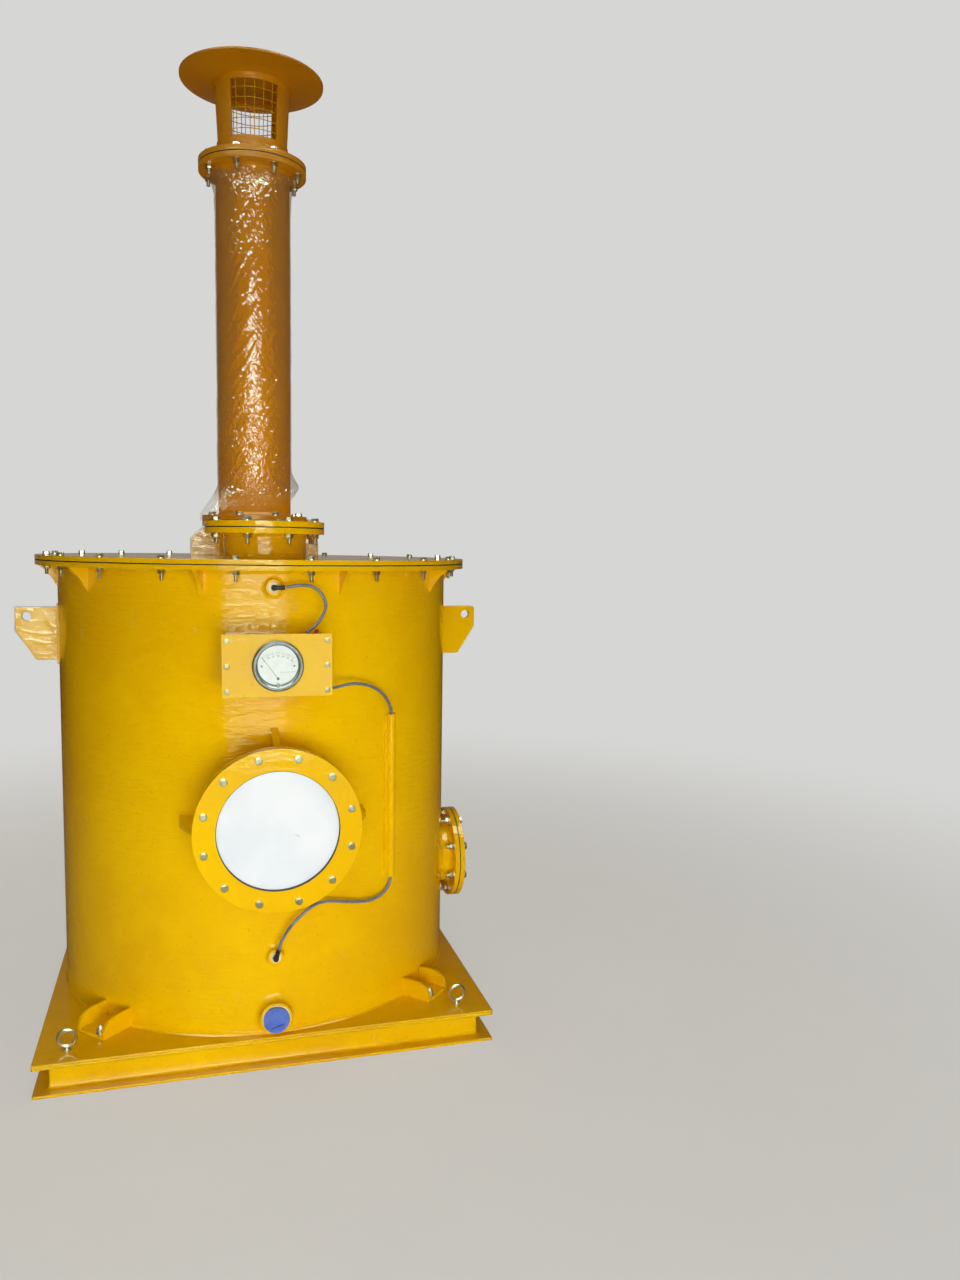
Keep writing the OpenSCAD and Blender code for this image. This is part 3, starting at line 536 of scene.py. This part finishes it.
def bolt_set(size, grip, spare, washer=None):
    """One set along Z: the head's washer stands on z = 0, and the nut's hangs a grip below."""
    across, radius = head_across[size], size / 2
    rim = (washer or size * 2) / 2
    thick = washer_share * size
    top = thick + head_share * size
    low = -grip - thick
    nut = nut_share * size
    parts = [
        turned([(radius, 0), (rim, 0), (rim, thick - 0.3), (rim - 0.4, thick),
                (radius, thick)], 24),
        hexagon(across, head_share * size, thick),
        turned([(0, top - 0.02), (across * 0.44, top - 0.02), (across * 0.42, top + 0.25),
                (0, top + 0.25)], 24),
        turned([(radius, low), (rim - 0.4, low), (rim, low + 0.3), (rim, -grip),
                (radius, -grip)], 24),
        hexagon(across, nut, low - nut, both=True),
        turned(thread_profile(radius, pitch_of[size], low - nut - spare, low), rod_steps),
    ]
    whole = bmesh.new()
    for part in parts:
        stamp(whole, part, [as_made])
    return whole


def round_circle(centre, across, count, facing=as_made):
    """Where a circle's bolts stand, the first pair astride the front. Each is turned by chance
    and leans a little, as if tightened by hand."""
    found = []
    for i in range(count):
        angle = math.radians((i + 0.5) * 360 / count - 90)
        found.append(Matrix.Translation(centre) @ facing @ spun(angle)
                     @ Matrix.Translation((across / 2 * MM, 0, 0))
                     @ spun(lucky.uniform(0, math.pi / 3))
                     @ spun(lucky.uniform(-0.02, 0.02), "X"))
    return found


# %% Bolt the lid down
lid_edge = 30  # from the lid's edge to its bolts, in millimetres
rim_low, lid_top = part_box("shell_flange")[0].z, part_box("lid")[1].z
lid_grip = (lid_top - rim_low) / MM
stamped_piece("lid_bolts", bolt_set(10, lid_grip, 17),
              round_circle((0, 0, lid_top), span_of("lid", 0) - 2 * lid_edge, 20))

# %% Bolt the pipe flanges
flange_t, gasket_t = 15, 3
pipe_circle, inlet_circle, circle_count = 280, 240, 8
for name, upper in (("fill_bolts", "fill_blind_flange"), ("stack_bolts", "stack_pipe"),
                    ("cowl_bolts", "cowl_body")):
    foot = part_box(upper)[0].z
    centre = (0, middle_of(upper).y, foot + flange_t * MM)
    stamped_piece(name, bolt_set(12, 2 * flange_t + gasket_t, 15),
                  round_circle(centre, pipe_circle, circle_count))

# %% Bolt the inlet's outer flange: heads outside, nuts toward the vessel
inlet_face = face_of("inlet_counter_flange", 0, 1)
facing_right = spun(math.pi / 2, "Y")
stamped_piece("inlet_bolts", bolt_set(12, 31, 12),
              round_circle(inlet_face, inlet_circle, circle_count, facing_right))

# %% Bolt the sight window's ring
ring_edge = 21  # from the ring's edge to its bolts
ring_circle = span_of("sight_cover_ring", 0) - 2 * ring_edge
ring_front, ring_back = (face_of("sight_cover_ring", 1, side) for side in (0, 1))
facing_front = spun(math.pi / 2, "X")
stamped_piece("sight_bolts", bolt_set(10, 32, 6, washer=18.5),
              round_circle(ring_front, ring_circle, 12, facing_front))

# %% Screw the gauge's panel down
panel_face = face_of("gauge_panel", 1, 0)
screw_x, screw_z = (-118, 118), (-60, 0, 60)
spots = [panel_face + Vector((x, 0, z)) * MM for x in screw_x for z in screw_z]
stamped_piece("panel_screws", bolt_set(6, 6, 4, washer=13),
              [Matrix.Translation(spot) @ facing_front @ spun(lucky.uniform(0, 1))
               for spot in spots], steel_painted_warm_reflection)

# %% Bolt the brackets to the base
bracket_out, bracket_aside = 632, (22, -22, 22, -22)  # from the axis, and off the diagonal
sole_t, rod_top = 8, 21
foot_bolt = bmesh.new()
stamp(foot_bolt, turned([(6, 0), (12, 0), (12, 2.0), (11.6, 2.5), (6, 2.5)], 28), [as_made])
stamp(foot_bolt, hexagon(19, 10, 2.5, both=True), [as_made])
stamp(foot_bolt, turned(thread_profile(6, pitch_of[12], 0, 12), rod_steps),
      [Matrix.Translation((0, 0, rod_top * MM)) @ spun(math.pi, "X")])
plate_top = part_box("base_plate")[1].z
stamped_piece("bracket_bolts", foot_bolt,
              [spun(math.radians(corner))
               @ Matrix.Translation((bracket_out * MM, aside * MM, plate_top + sole_t * MM))
               @ spun(lucky.uniform(0, 1))
               for corner, aside in zip((45, 135, 225, 315), bracket_aside)])

# %% [markdown]
# ## Laminated corners
# Where one moulding meets another, the laminator wets a few layers of glass over the joint.
# The gelcoat then runs round the corner in a soft hollow. A turned ring with a hollow face
# makes it where the joint is round. Where a round neck meets the round vessel, the ring is
# drawn out loop by loop, and each loop is laid on the vessel's curve.

# %% Fill the round corners
hollows = bmesh.new()


def hollow_arc(size, steps):
    """A quarter of a circle from (size, 0) to (0, size), sunk toward the corner."""
    turns = [math.pi / 2 * i / steps for i in range(steps + 1)]
    return [(size * (1 - math.sin(turn)), size * (1 - math.cos(turn))) for turn in turns]


def hollow_ring(centre, radius, size, facing=as_made, steps=96, into=hollows):
    """A hollow corner of that size round a pipe of that radius, rising from z = 0."""
    arc = [(radius + out, rise) for out, rise in hollow_arc(size, 6)]
    section = [(radius - 0.5, -0.5), (radius + size, -0.5)] + arc + [(radius - 0.5, size)]
    stamp(into, turned(section, steps), [Matrix.Translation(centre) @ facing])


upside_down = spun(math.pi, "X")
facing_left = spun(-math.pi / 2, "Y")
facing_back = spun(-math.pi / 2, "X")
tank_r, pipe_r = span_of("tank_floor", 0) / 2, span_of("stack_pipe", 0) / 2
neck_r = span_of("sight_neck", 0) / 2
inlet_r, cowl_foot_r = 94, 103
stack_y = middle_of("stack_pipe").y
flange_step = flange_t * MM
hollow_ring((0, 0, plate_top), tank_r, 4, steps=220)
hollow_ring((0, 0, rim_low), tank_r, 9, upside_down, steps=220)
for nozzle, y in (("fill_nozzle", middle_of("fill_nozzle").y), ("stack_nozzle", stack_y)):
    hollow_ring((0, y, lid_top), pipe_r, 11)
    hollow_ring((0, y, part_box(nozzle)[1].z - flange_step), pipe_r, 9, upside_down)
stack_foot, stack_head = (corner.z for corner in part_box("stack_pipe"))
cowl_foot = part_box("cowl_body")[0].z
upper = bmesh.new()
hollow_ring((0, stack_y, stack_foot + flange_step), pipe_r, 11, into=upper)
hollow_ring((0, stack_y, stack_head - flange_step), pipe_r, 11, upside_down, into=upper)
hollow_ring((0, stack_y, cowl_foot + flange_step), cowl_foot_r, 9, into=upper)
finish_piece(upper, "stack_corners", shaded_stack_coat, sharp=50)
inlet_t = 14  # the inlet's own flange
inlet_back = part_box("inlet_nozzle")[1].x - inlet_t * MM
hollow_ring((inlet_back, 0, inlet_face.z), inlet_r, 9, facing_left)
hollow_ring((0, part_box("sight_flange")[1].y, ring_front.z), neck_r, 8, facing_back)
print("round corners", len(hollows.faces), "faces")

# %% Fill the corners where a neck meets the vessel's curve


def saddle(height, radius, size, turn=0.0):
    """A hollow corner round a neck that leaves the vessel, turned about Z from the front."""
    ring = bmesh.new()
    bmesh.ops.create_circle(ring, segments=72, radius=radius * MM)
    loop = list(ring.edges)
    rows = [list(ring.verts)]
    arc = hollow_arc(size, 7)[::-1]
    for _ in arc[1:] + [None]:
        grown = bmesh.ops.extrude_edge_only(ring, edges=loop)["geom"]
        loop = [g for g in grown if isinstance(g, bmesh.types.BMEdge) and len(g.link_faces) == 1]
        rows.append([g for g in grown if isinstance(g, bmesh.types.BMVert)])
    for row, (out, rise) in zip(rows, arc + [(size + 0.4, -0.8)]):
        for vert in row:
            angle = math.atan2(vert.co.y, vert.co.x)
            across, up = (radius + out) * math.cos(angle), (radius + out) * math.sin(angle)
            skin = math.sqrt(tank_r ** 2 - across ** 2)
            vert.co = Vector((across, -(skin + rise), height + up)) * MM
    bmesh.ops.recalc_face_normals(ring, faces=ring.faces)
    probe = max(ring.faces, key=lambda f: f.calc_center_median().z)
    if probe.normal.z < 0 and probe.normal.y > 0:
        bmesh.ops.reverse_faces(ring, faces=ring.faces)
    bmesh.ops.solidify(ring, geom=ring.faces, thickness=0.6 * MM)
    stamp(hollows, ring, [spun(turn)])


washer_r = 13.5
washers_low, washers_high = (corner.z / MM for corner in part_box("port_washers"))
for port_z in (washers_low + washer_r, washers_high - washer_r):
    saddle(port_z, 20, 10)
saddle(middle_of("drain_plug").z / MM, 40, 16)
saddle(ring_front.z / MM, neck_r, 9)
saddle(inlet_face.z / MM, inlet_r, 10, turn=math.pi / 2)
finish_piece(hollows, "laminate_corners", gelcoat, sharp=50)

# %% [markdown]
# ## The gauge and the window's small parts
# The gauge has a white dial with a printed arc, plain numbers, two rivets and a thin pointer
# that turns about a hub near the bottom. All of it is flat work a few tenths of a millimetre
# thick, laid on the dial under its clear cover. A dark ring at the dial's rim is painted shade
# under the bezel, and a black lining in the window ring's bore is painted shade on its inner
# wall. The drain plug sits on a pale sealing ring.

# %% Print the dial
pivot = (0, -30)
arc_r, sweep = 62, 37  # the scale's arc round the pivot, and its degrees to either side
ink_t, number_t, number_tall = 0.12, 0.06, 6
on_dial = Matrix.Translation(face_of("gauge_dial", 1, 0)) @ facing_front


def dial_spot(x, z, out=0.0):
    """A place on the dial, in the dial's own millimetres."""
    return on_dial @ Matrix.Translation((x * MM, z * MM, out * MM))


def dial_bar(target, middle, wide, tall, turn, thick):
    """A thin flat bar on the dial."""
    bar = bmesh.new()
    bmesh.ops.create_cube(bar, size=1.0)
    bmesh.ops.scale(bar, vec=(wide * MM, tall * MM, thick * MM), verts=bar.verts)
    stamp(target, bar, [dial_spot(*middle, thick / 2) @ spun(turn)])


def on_arc(share, radius):
    """A point on the scale's arc, and the angle of its tick."""
    angle = math.radians(90 + sweep - 2 * sweep * share)
    spot = (pivot[0] + radius * math.cos(angle), pivot[1] + radius * math.sin(angle))
    return spot, angle - math.pi / 2


marks = bmesh.new()
dial_bar(marks, (27, -14.5), 45, 0.55, 0, ink_t)
ticks, dashes, numbers = 30, 60, 6
for i in range(ticks + 1):
    long = i % 5 == 0
    spot, turn = on_arc(i / ticks, arc_r + (0.0 if long else 0.8))
    dial_bar(marks, spot, 0.55 if long else 0.3, 4.6 if long else 2.8, turn, ink_t)
for i in range(dashes):
    spot, turn = on_arc((i + 0.5) / dashes, arc_r - 2.4)
    dial_bar(marks, spot, 1.36, 0.3, turn, ink_t)
for i in range(numbers + 1):
    words = bpy.data.curves.new("number", "FONT")
    words.body = str(i * 10)
    words.size = number_tall * MM
    words.align_x, words.align_y = "CENTER", "CENTER"
    words.extrude = number_t * MM
    words.resolution_u = 3
    flat = bpy.data.objects.new("number", words)
    scene.collection.objects.link(flat)
    shape = bmesh.new()
    shape.from_mesh(flat.to_mesh())
    spot, turn = on_arc(i / numbers, arc_r - 8.0)
    stamp(marks, shape, [dial_spot(*spot, number_t) @ spun(turn)])
    flat.to_mesh_clear()
    bpy.data.objects.remove(flat)
finish_piece(marks, "dial_marks", dial_ink)

# %% Set the pointer, its hub, the dial's rivets, a ring of painted shade and the zero screw
pointer = bmesh.new()
spot, turn = on_arc(0.012, arc_r - 30)
dial_bar(pointer, spot, 0.9, 62, turn, 0.5)
hub = turned([(0, 0), (3.4, 0), (3.4, 1.6), (2.4, 2.4), (0, 2.4)], 32)
stamp(pointer, hub, [dial_spot(*pivot)])
finish_piece(pointer, "dial_pointer", dial_ink)

rivet = turned([(0, 0), (2.2, 0), (2.1, 0.7), (1.3, 1.1), (0, 1.2)], 24)
stamped_piece("dial_rivets", rivet, [dial_spot(x, 0) for x in (-38, 38)], rubber)

# painted shade: a black ring round the dial's rim, where the bezel shades it
shade_ring = turned([(47.4, 0), (50.4, 0), (50.4, 0.6), (47.4, 0.6)], 96)
stamped_piece("dial_rim_painted_shade", shade_ring, [dial_spot(-0.4, 2.4)], rubber)

zero_z = -44.5
zero_screw = bmesh.new()
zero = turned([(0, 0), (4.2, 0), (4.2, 3.4), (3.6, 4.0), (0, 4.0)], 32)
stamp(zero_screw, zero, [dial_spot(0, zero_z)])
dial_bar(zero_screw, (0, zero_z), 5.2, 0.9, 0.5, 8.3)
finish_piece(zero_screw, "dial_screws", bezel_metal)

# %% Line the window's bore with painted shade, seat the plug, cap the gauge's spare port
# painted shade: a black lining on the inner wall of the ring's bore, in front of the pane
bore = span_of("sight_glass", 0) / 2 - 18
shade_lining = turned([(bore - 1.1, 0.0), (bore + 0.1, 0.0), (bore + 0.1, 11.6), (bore - 0.5, 11.6),
                (bore - 1.1, 10.8)], 128)
stamped_piece("window_bore_painted_shade", shade_lining, [Matrix.Translation(ring_back) @ facing_front], rubber)

plug_foot = middle_of("drain_plug")
plug_foot.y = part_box("drain_boss")[0].y
ring = turned([(31.0, 0.0), (35.2, 0.0), (35.2, 1.6), (34.6, 2.2), (31.0, 2.2)], 64)
stamped_piece("plug_seal", ring, [Matrix.Translation(plug_foot) @ facing_front],
              washer_plastic)

red = turned([(0, 0), (6.5, 0), (6.5, 2.0), (5.0, 2.6), (5.0, 8.5), (4.2, 9.5), (0, 9.5)], 32)
spare_port = (0.101, -0.603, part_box("gauge_box")[1].z)
stamped_piece("spare_port_cap", red, [Matrix.Translation(spare_port)], red_plastic)

# %% [markdown]
# ## The wrapping film
# For transport the stack is wound with clear stretch film. Seen close, it is a thin skin with
# fine crinkles all over, long slanting pull lines, a gathered top under the bolts, and a loose
# skirt at the foot that stands away on the left. The film starts as one flat grid, which is
# bent round the pipe and welded to itself. Each point then moves out by a sum of patterns.

# %% Mix the film


def film_material(name, loose_below=1.46, haze=0.005, pull=1.0, crumple=60.0, bend=1.85):
    """Clear film with slanting pull lines, and crumpled and milky where it hangs loose."""
    loose_above, most_glint = 2.42, 0.42
    material, start, place = new_material(name)
    height = start.node("SeparateXYZ", {0: place}, out="Z")
    skirt = 1 - height.between(loose_below, loose_below + 0.13)
    loose = (skirt + height.between(loose_above - 0.09, loose_above)).clamped()
    slanted = place.stretched((1, 1, 1), turn=(0, math.radians(28), 0))
    pulled = slanted.stretched((1, 1, 0.24)).noise(150, 1, 0.5, 0.3)
    quiet = place.noise(13, 1).between(0.38, 0.62)
    pulls = pulled * (0.0009 + 0.0013 * quiet)
    # crinkles: deep on the lower half, where the film is slack, and faint above it
    crinkled = abs(place.noise(52, 1, 0.6, 0.5) - 0.5)
    crinkles = crinkled * (0.0004 + 0.0056 * (1 - height.between(1.66, 2.05)))
    crumpled = abs(place.noise(crumple, 2, 0.55, 0.8) - 0.5) * (0.0008 + 0.0034 * loose)
    bumps = bumped(start, (pulls + crinkles) * pull + crumpled)
    gathered = 1 - abs(place.noise(38, 2, 0.6, 0.8) - 0.5).between(0.0, 0.05)
    milk = haze + 0.010 * gathered + 0.030 * loose + 0.09 * gathered * loose
    clear = start.node("BsdfTransparent", {"Color": (0.985, 0.98, 0.965, 1)})
    veil = principled(start, (0.94, 0.86, 0.58, 1), 0.45, Normal=bumps)
    mirror = principled(start, (1, 1, 1, 1), 0.05 + 0.06 * gathered, Metallic=1.0, Normal=bumps)
    # the loose skirt mirrors less, and the cap keeps a fold seen edge on from turning white
    glint = start.node("Fresnel", {"IOR": bend, "Normal": bumps})
    glint = (glint * (1.4 - 1.3 * skirt)).capped(most_glint)
    surface(start, mixed(start, glint, mixed(start, milk, clear, veil), mirror))
    return material


stretch_film = film_material("stretch_film")
cling_film = film_material("cling_film", loose_below=-1.0, haze=0.04, pull=0.08, crumple=24.0,
                           bend=1.47)

# %% Wind the film round the stack
film_r = 0.111  # metres
front_angle, left_angle, right_angle = (math.radians(turn) for turn in (-93.5, 192, -6))


def ridge(place):
    """Sharp folds: 1 on a fold's line and falling off to each side."""
    return 1 - min(1.0, abs(noise.noise(place)) * 2.2)


def swell(value, low, high):
    """0 below low and 1 above high, smooth between them."""
    share = min(1.0, max(0.0, (value - low) / (high - low)))
    return share * share * (3 - 2 * share)


def near_angle(angle, centre, width):
    """1 at an angle round the stack, fading to 0 over a width."""
    away = (angle - centre + math.pi) % (2 * math.pi) - math.pi
    return math.exp(-(away / width) ** 2)


def stack_film_shape(angle, share):
    """The film's radius and height at an angle and a share of the way up, in metres."""
    left = min(1.0, 1.45 * near_angle(angle, left_angle, 0.62))
    right = near_angle(angle, right_angle, 0.62)
    around = Vector((math.cos(angle), math.sin(angle), 0)) * film_r
    wander = noise.noise(around * 16)
    over_rim = swell(left, 0.90, 0.99)
    low = 1.4405 + 0.055 * right + 0.004 * wander - 0.030 * over_rim
    high = 2.443 + 0.006 * noise.noise(around * 40)
    z = low + (high - low) * share
    here = around + Vector((0, 0, z))
    slant = angle - 5.2 * z
    pulled = Vector((math.cos(slant) * film_r, math.sin(slant) * film_r, z * 0.22))
    crumple = swell(z, 2.30, 2.42) + 0.8 * (1 - swell(z, low, low + 0.10))
    out = film_r + 0.0003
    # pull lines, crinkles, and deeper folds where it is gathered or loose
    out += 0.0016 * ridge(pulled * 42) * (0.35 + 0.65 * near_angle(angle, front_angle - 0.3, 1.1))
    out += 0.0010 * ridge(here * 55)
    out += crumple * (0.0030 * ridge(here * 22) + 0.0016 * ridge(here * 48 + Vector((3, 1, 7))))
    out += 0.0015 * (0.5 + noise.noise(here * 9))
    # the skirt stands away on the left, bulges on the right, and the top flares over the bolts
    out += 0.050 * left * (1 - max(0.0, min(1.0, (z - 1.436) / 0.085))) ** 1.2
    out += 0.021 * right * math.exp(-((z - low - 0.028) / 0.026) ** 2)
    out += 0.0105 * max(left, right) * swell(z, 2.385, 2.445)
    return out, z


film = bmesh.new()
bmesh.ops.create_grid(film, x_segments=208, y_segments=300, size=0.5)
for vert in film.verts:
    angle = front_angle + math.pi + (vert.co.x + 0.5) * 2 * math.pi
    out, height = stack_film_shape(angle, vert.co.y + 0.5)
    vert.co = Vector((math.cos(angle) * out, math.sin(angle) * out, height))
bmesh.ops.remove_doubles(film, verts=film.verts, dist=1e-5)
bmesh.ops.recalc_face_normals(film, faces=film.faces)
bmesh.ops.translate(film, vec=(0, stack_y, 0), verts=film.verts)
area = sum(face.calc_area() for face in film.faces)
stack_wrap = finish_piece(film, "stack_wrap", stretch_film, sharp=180)
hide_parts("stack_film")
area / 1.04
print("the film is", round(area, 3), "square metres")

# %% [markdown]
# The left lug and the two outer gussets of the stack nozzle still wear scraps of the same
# film, clinging with a few folds. Each starts as the plate's own outline, a little larger. The
# Remesh modifier covers it with even small faces, and each point is then pushed out along its
# normal by a pattern of folds. The side at the wall is cut away, so the film is an open pocket.

# %% Wrap the left lug and the nozzle's gussets


def plate_form(outline, thick):
    """An upright plate across Y from (x, z) corners, in millimetres."""
    form = bmesh.new()
    face = form.faces.new([form.verts.new((x * MM, -thick / 2 * MM, z * MM)) for x, z in outline])
    side = bmesh.ops.extrude_face_region(form, geom=[face])["geom"]
    corners = [g for g in side if isinstance(g, bmesh.types.BMVert)]
    bmesh.ops.translate(form, vec=(0, thick * MM, 0), verts=corners)
    bmesh.ops.recalc_face_normals(form, faces=form.faces)
    return form


def cling(name, form, lift, fold, open_from, place=(0, 0, 0), hole=None):
    """A pocket of film round a plate. It begins at open_from and may have a round hole, given
    by its (x, z, radius)."""
    mesh = bpy.data.meshes.new("form")
    form.to_mesh(mesh)
    form.free()
    solid = bpy.data.objects.new("form", mesh)
    scene.collection.objects.link(solid)
    even = solid.modifiers.new("even", "REMESH")
    even.mode, even.voxel_size = "VOXEL", 2.0 * MM
    skin = bmesh.new()
    skin.from_object(solid, bpy.context.evaluated_depsgraph_get())
    bpy.data.objects.remove(solid)
    bmesh.ops.smooth_vert(skin, verts=skin.verts, factor=0.5,
                          use_axis_x=True, use_axis_y=True, use_axis_z=True)
    skin.normal_update()
    moves = []
    for vert in skin.verts:
        x, y, z = vert.co
        folds = ridge(Vector((x * 12, y * 12, z * 34)) + Vector((lift, 5, 2))) ** 3
        out = lift + fold * (0.85 * folds + 0.15 * ridge(vert.co * 60))
        moves.append(vert.normal * out * MM)
    for vert, move in zip(skin.verts, moves):
        vert.co += move
    way = 1 if open_from > 0 else -1
    hole_x, hole_z, hole_r = (length * MM for length in hole or (0, 0, 0))
    gone = []
    for face in skin.faces:
        x, _, z = face.calc_center_median()
        if way * x < way * open_from * MM or math.hypot(x - hole_x, z - hole_z) < hole_r:
            gone.append(face)
    bmesh.ops.delete(skin, geom=gone, context="FACES")
    bmesh.ops.translate(skin, vec=place, verts=skin.verts)
    cover = sum(face.calc_area() for face in skin.faces)
    return finish_piece(skin, name, cling_film, sharp=180), cover


lug_top, lug_in, lug_out, lug_foot = 1154, 560, 675, 616  # the foot is where its slope ends
lug_outline = [(-lug_in, lug_top), (-lug_out, lug_top), (-lug_out, lug_top - 70),
               (-lug_foot, lug_top - 150), (-lug_in, lug_top - 150)]
lug_film, cover = cling("lug_film", plate_form(lug_outline, 16), 0.8, 1.8, -lug_in - 6,
                        hole=(-645, 1128, 14.5))
print("lug film", round(cover, 4), "square metres")

gusset_foot, gusset_top = 1308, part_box("stack_nozzle")[1].z / MM - flange_t - 5
gusset_in, gusset_out = 112, 195
gusset_outline = [(gusset_in, gusset_foot), (gusset_out, gusset_foot),
                  (gusset_out, gusset_top - 33), (gusset_out - 38, gusset_top),
                  (gusset_in, gusset_top)]
for name, way in (("gusset_film_left", -1), ("gusset_film_right", 1)):
    form = plate_form([(way * x, z) for x, z in gusset_outline], 12)
    wrap, cover = cling(name, form, 0.9, 3.0, way * (gusset_in + 10), place=(0, stack_y, 0))
    print(name, round(cover, 4), "square metres")

# %% [markdown]
# ## Light and floor
# A pale floor and a pale backdrop show the shape plainly. The light comes from a tall opening
# like a hall's door, behind the camera and a little to the left. Some lamps only light the
# unit, and others show only in what is glossy, where they draw the ragged pale streaks.
# In a mirror the floor and the room are darker, or they would bleach the gelcoat's sides.

# %% Lay the floor
sheet = bmesh.new()
bmesh.ops.create_grid(sheet, x_segments=2, y_segments=2, size=30.0)
mesh = bpy.data.meshes.new("floor")
sheet.to_mesh(mesh)
sheet.free()
floor = bpy.data.objects.new("floor", mesh)
scene.collection.objects.link(floor)
floor_paint, start, place = new_material("floor_paint")
room_tone = tone(214, 214, 212)
fade_from, fade_to = 1.2, 4.5  # metres from the unit, where the floor turns into the backdrop
grain = place.noise(3, 3).between(0.3, 0.7)
painted = principled(start, grain.blend(tone(226, 225, 222), tone(221, 220, 217)),
                     0.62 + 0.1 * grain)
far_floor = start.node("Emission", {"Color": room_tone, "Strength": 1.0})
distance = start.node("VectorMath", {0: place}, out="Value", operation="LENGTH")
rays = start.node("LightPath", out="Is Camera Ray")
shown = (rays + rays.other("Is Transmission Ray")).clamped()
dim_floor = start.node("BsdfDiffuse", {"Color": tone(122, 108, 80)})
near_floor = mixed(start, 0.85 * rays.other("Is Glossy Ray"), painted, dim_floor)
far_floor = mixed(start, shown, dim_floor, far_floor)
lifted = mixed(start, 0.62 * shown, near_floor, far_floor)
surface(start, mixed(start, distance.between(fade_from, fade_to), lifted, far_floor))
mesh.materials.append(floor_paint)

# %% Colour the room, with a pale backdrop and a darker hall behind the camera
world = bpy.data.worlds.new("room")
scene.world = world
world.use_nodes = True
world.node_tree.nodes.clear()
start = Wire(world.node_tree)
rays = start.node("LightPath", out="Is Camera Ray")
through = rays.other("Is Transmission Ray")
toward = start.node("TexCoord", out="Generated")
ahead = start.node("SeparateXYZ", {0: toward}, out="Y")
backdrop = ahead.between(0.86, 1.0) * 0.35
wall_colour = (backdrop + rays + through).clamped().blend(tone(80, 70, 48), room_tone)
fill = start.node("Background", {"Color": (1.0, 0.67, 0.33, 1.0), "Strength": 0.18})
wall = start.node("Background", {"Color": wall_colour, "Strength": 1.0})
seen = (rays + rays.other("Is Glossy Ray") + through).clamped()
start.node("OutputWorld", {"Surface": mixed(start, seen, fill, wall)})

# %% Hang the lamps
daylight, warm_light, streak_light = (0.97, 1.0, 0.98), (1.0, 0.80, 0.52), (0.80, 1.0, 0.70)


def lamp(name, place, aim, size, power, colour=daylight, mirrored=True, lighting=True, spread=180):
    """A soft panel. It may light the unit, show as a streak in what is glossy, or do both."""
    light = bpy.data.lights.new(name, "AREA")
    light.shape = "RECTANGLE"
    light.size, light.size_y = size
    light.energy, light.color, light.spread = power, colour, math.radians(spread)
    lit = bpy.data.objects.new(name, light)
    scene.collection.objects.link(lit)
    lit.location = place
    lit.rotation_mode = "QUATERNION"
    lit.rotation_quaternion = (Vector(aim) - Vector(place)).to_track_quat("-Z", "Y")
    lit.visible_glossy, lit.visible_diffuse = mirrored, lighting


door_x = -0.45
lights_only, shows_only = {"mirrored": False}, {"lighting": False, "colour": streak_light}
lamp("door_low", (door_x, -4.4, 0.7), (door_x, 0, 0.7), (2.6, 1.4), 9, spread=62, **lights_only)
lamp("door_glow", (door_x, -4.36, 0.60), (door_x, 0, 0.60), (2.6, 0.52), 7.5, **shows_only)
lamp("slat_high", (door_x, -4.32, 0.98), (door_x, 0, 0.98), (2.5, 0.045), 8, **shows_only)
lamp("slat_low", (door_x, -4.32, 0.14), (door_x, 0, 0.14), (2.5, 0.045), 6, **shows_only)
lamp("door_high", (door_x, -4.4, 2.1), (door_x, 0, 2.1), (2.4, 1.6), 24)
lamp("door_bright", (-0.5, -4.36, 2.13), (-0.5, 0, 2.13), (2.2, 1.15), 60, **shows_only)
lamp("low_panel", (0.3, -3.4, 0.35), (0, 0, 0.45), (2.0, 0.7), 7, spread=80, **lights_only)
lamp("right_panel", (3, -2.6, 0.9), (0, 0, 0.6), (1.6, 1.4), 8, warm_light, **lights_only)
lamp("back_panel", (-2.2, 4.4, 2.6), (0, 0, 1), (2.2, 2.2), 34, warm_light, **lights_only)
lamp("roof_panel", (0.4, 0.4, 6), (0, 0, 0), (4, 4), 36, **lights_only)
lamp("roof_bright", (0, -1.5, 4.8), (0, -0.6, 0.1), (6.0, 2.2), 290, **shows_only)
lamp("tube_left", (-1.1, -1.2, 4.6), (-0.6, 0, 0), (0.25, 3.2), 5)
lamp("tube_right", (1.3, -1.2, 4.6), (0.6, 0, 0), (0.25, 3.2), 4)

# %% [markdown]
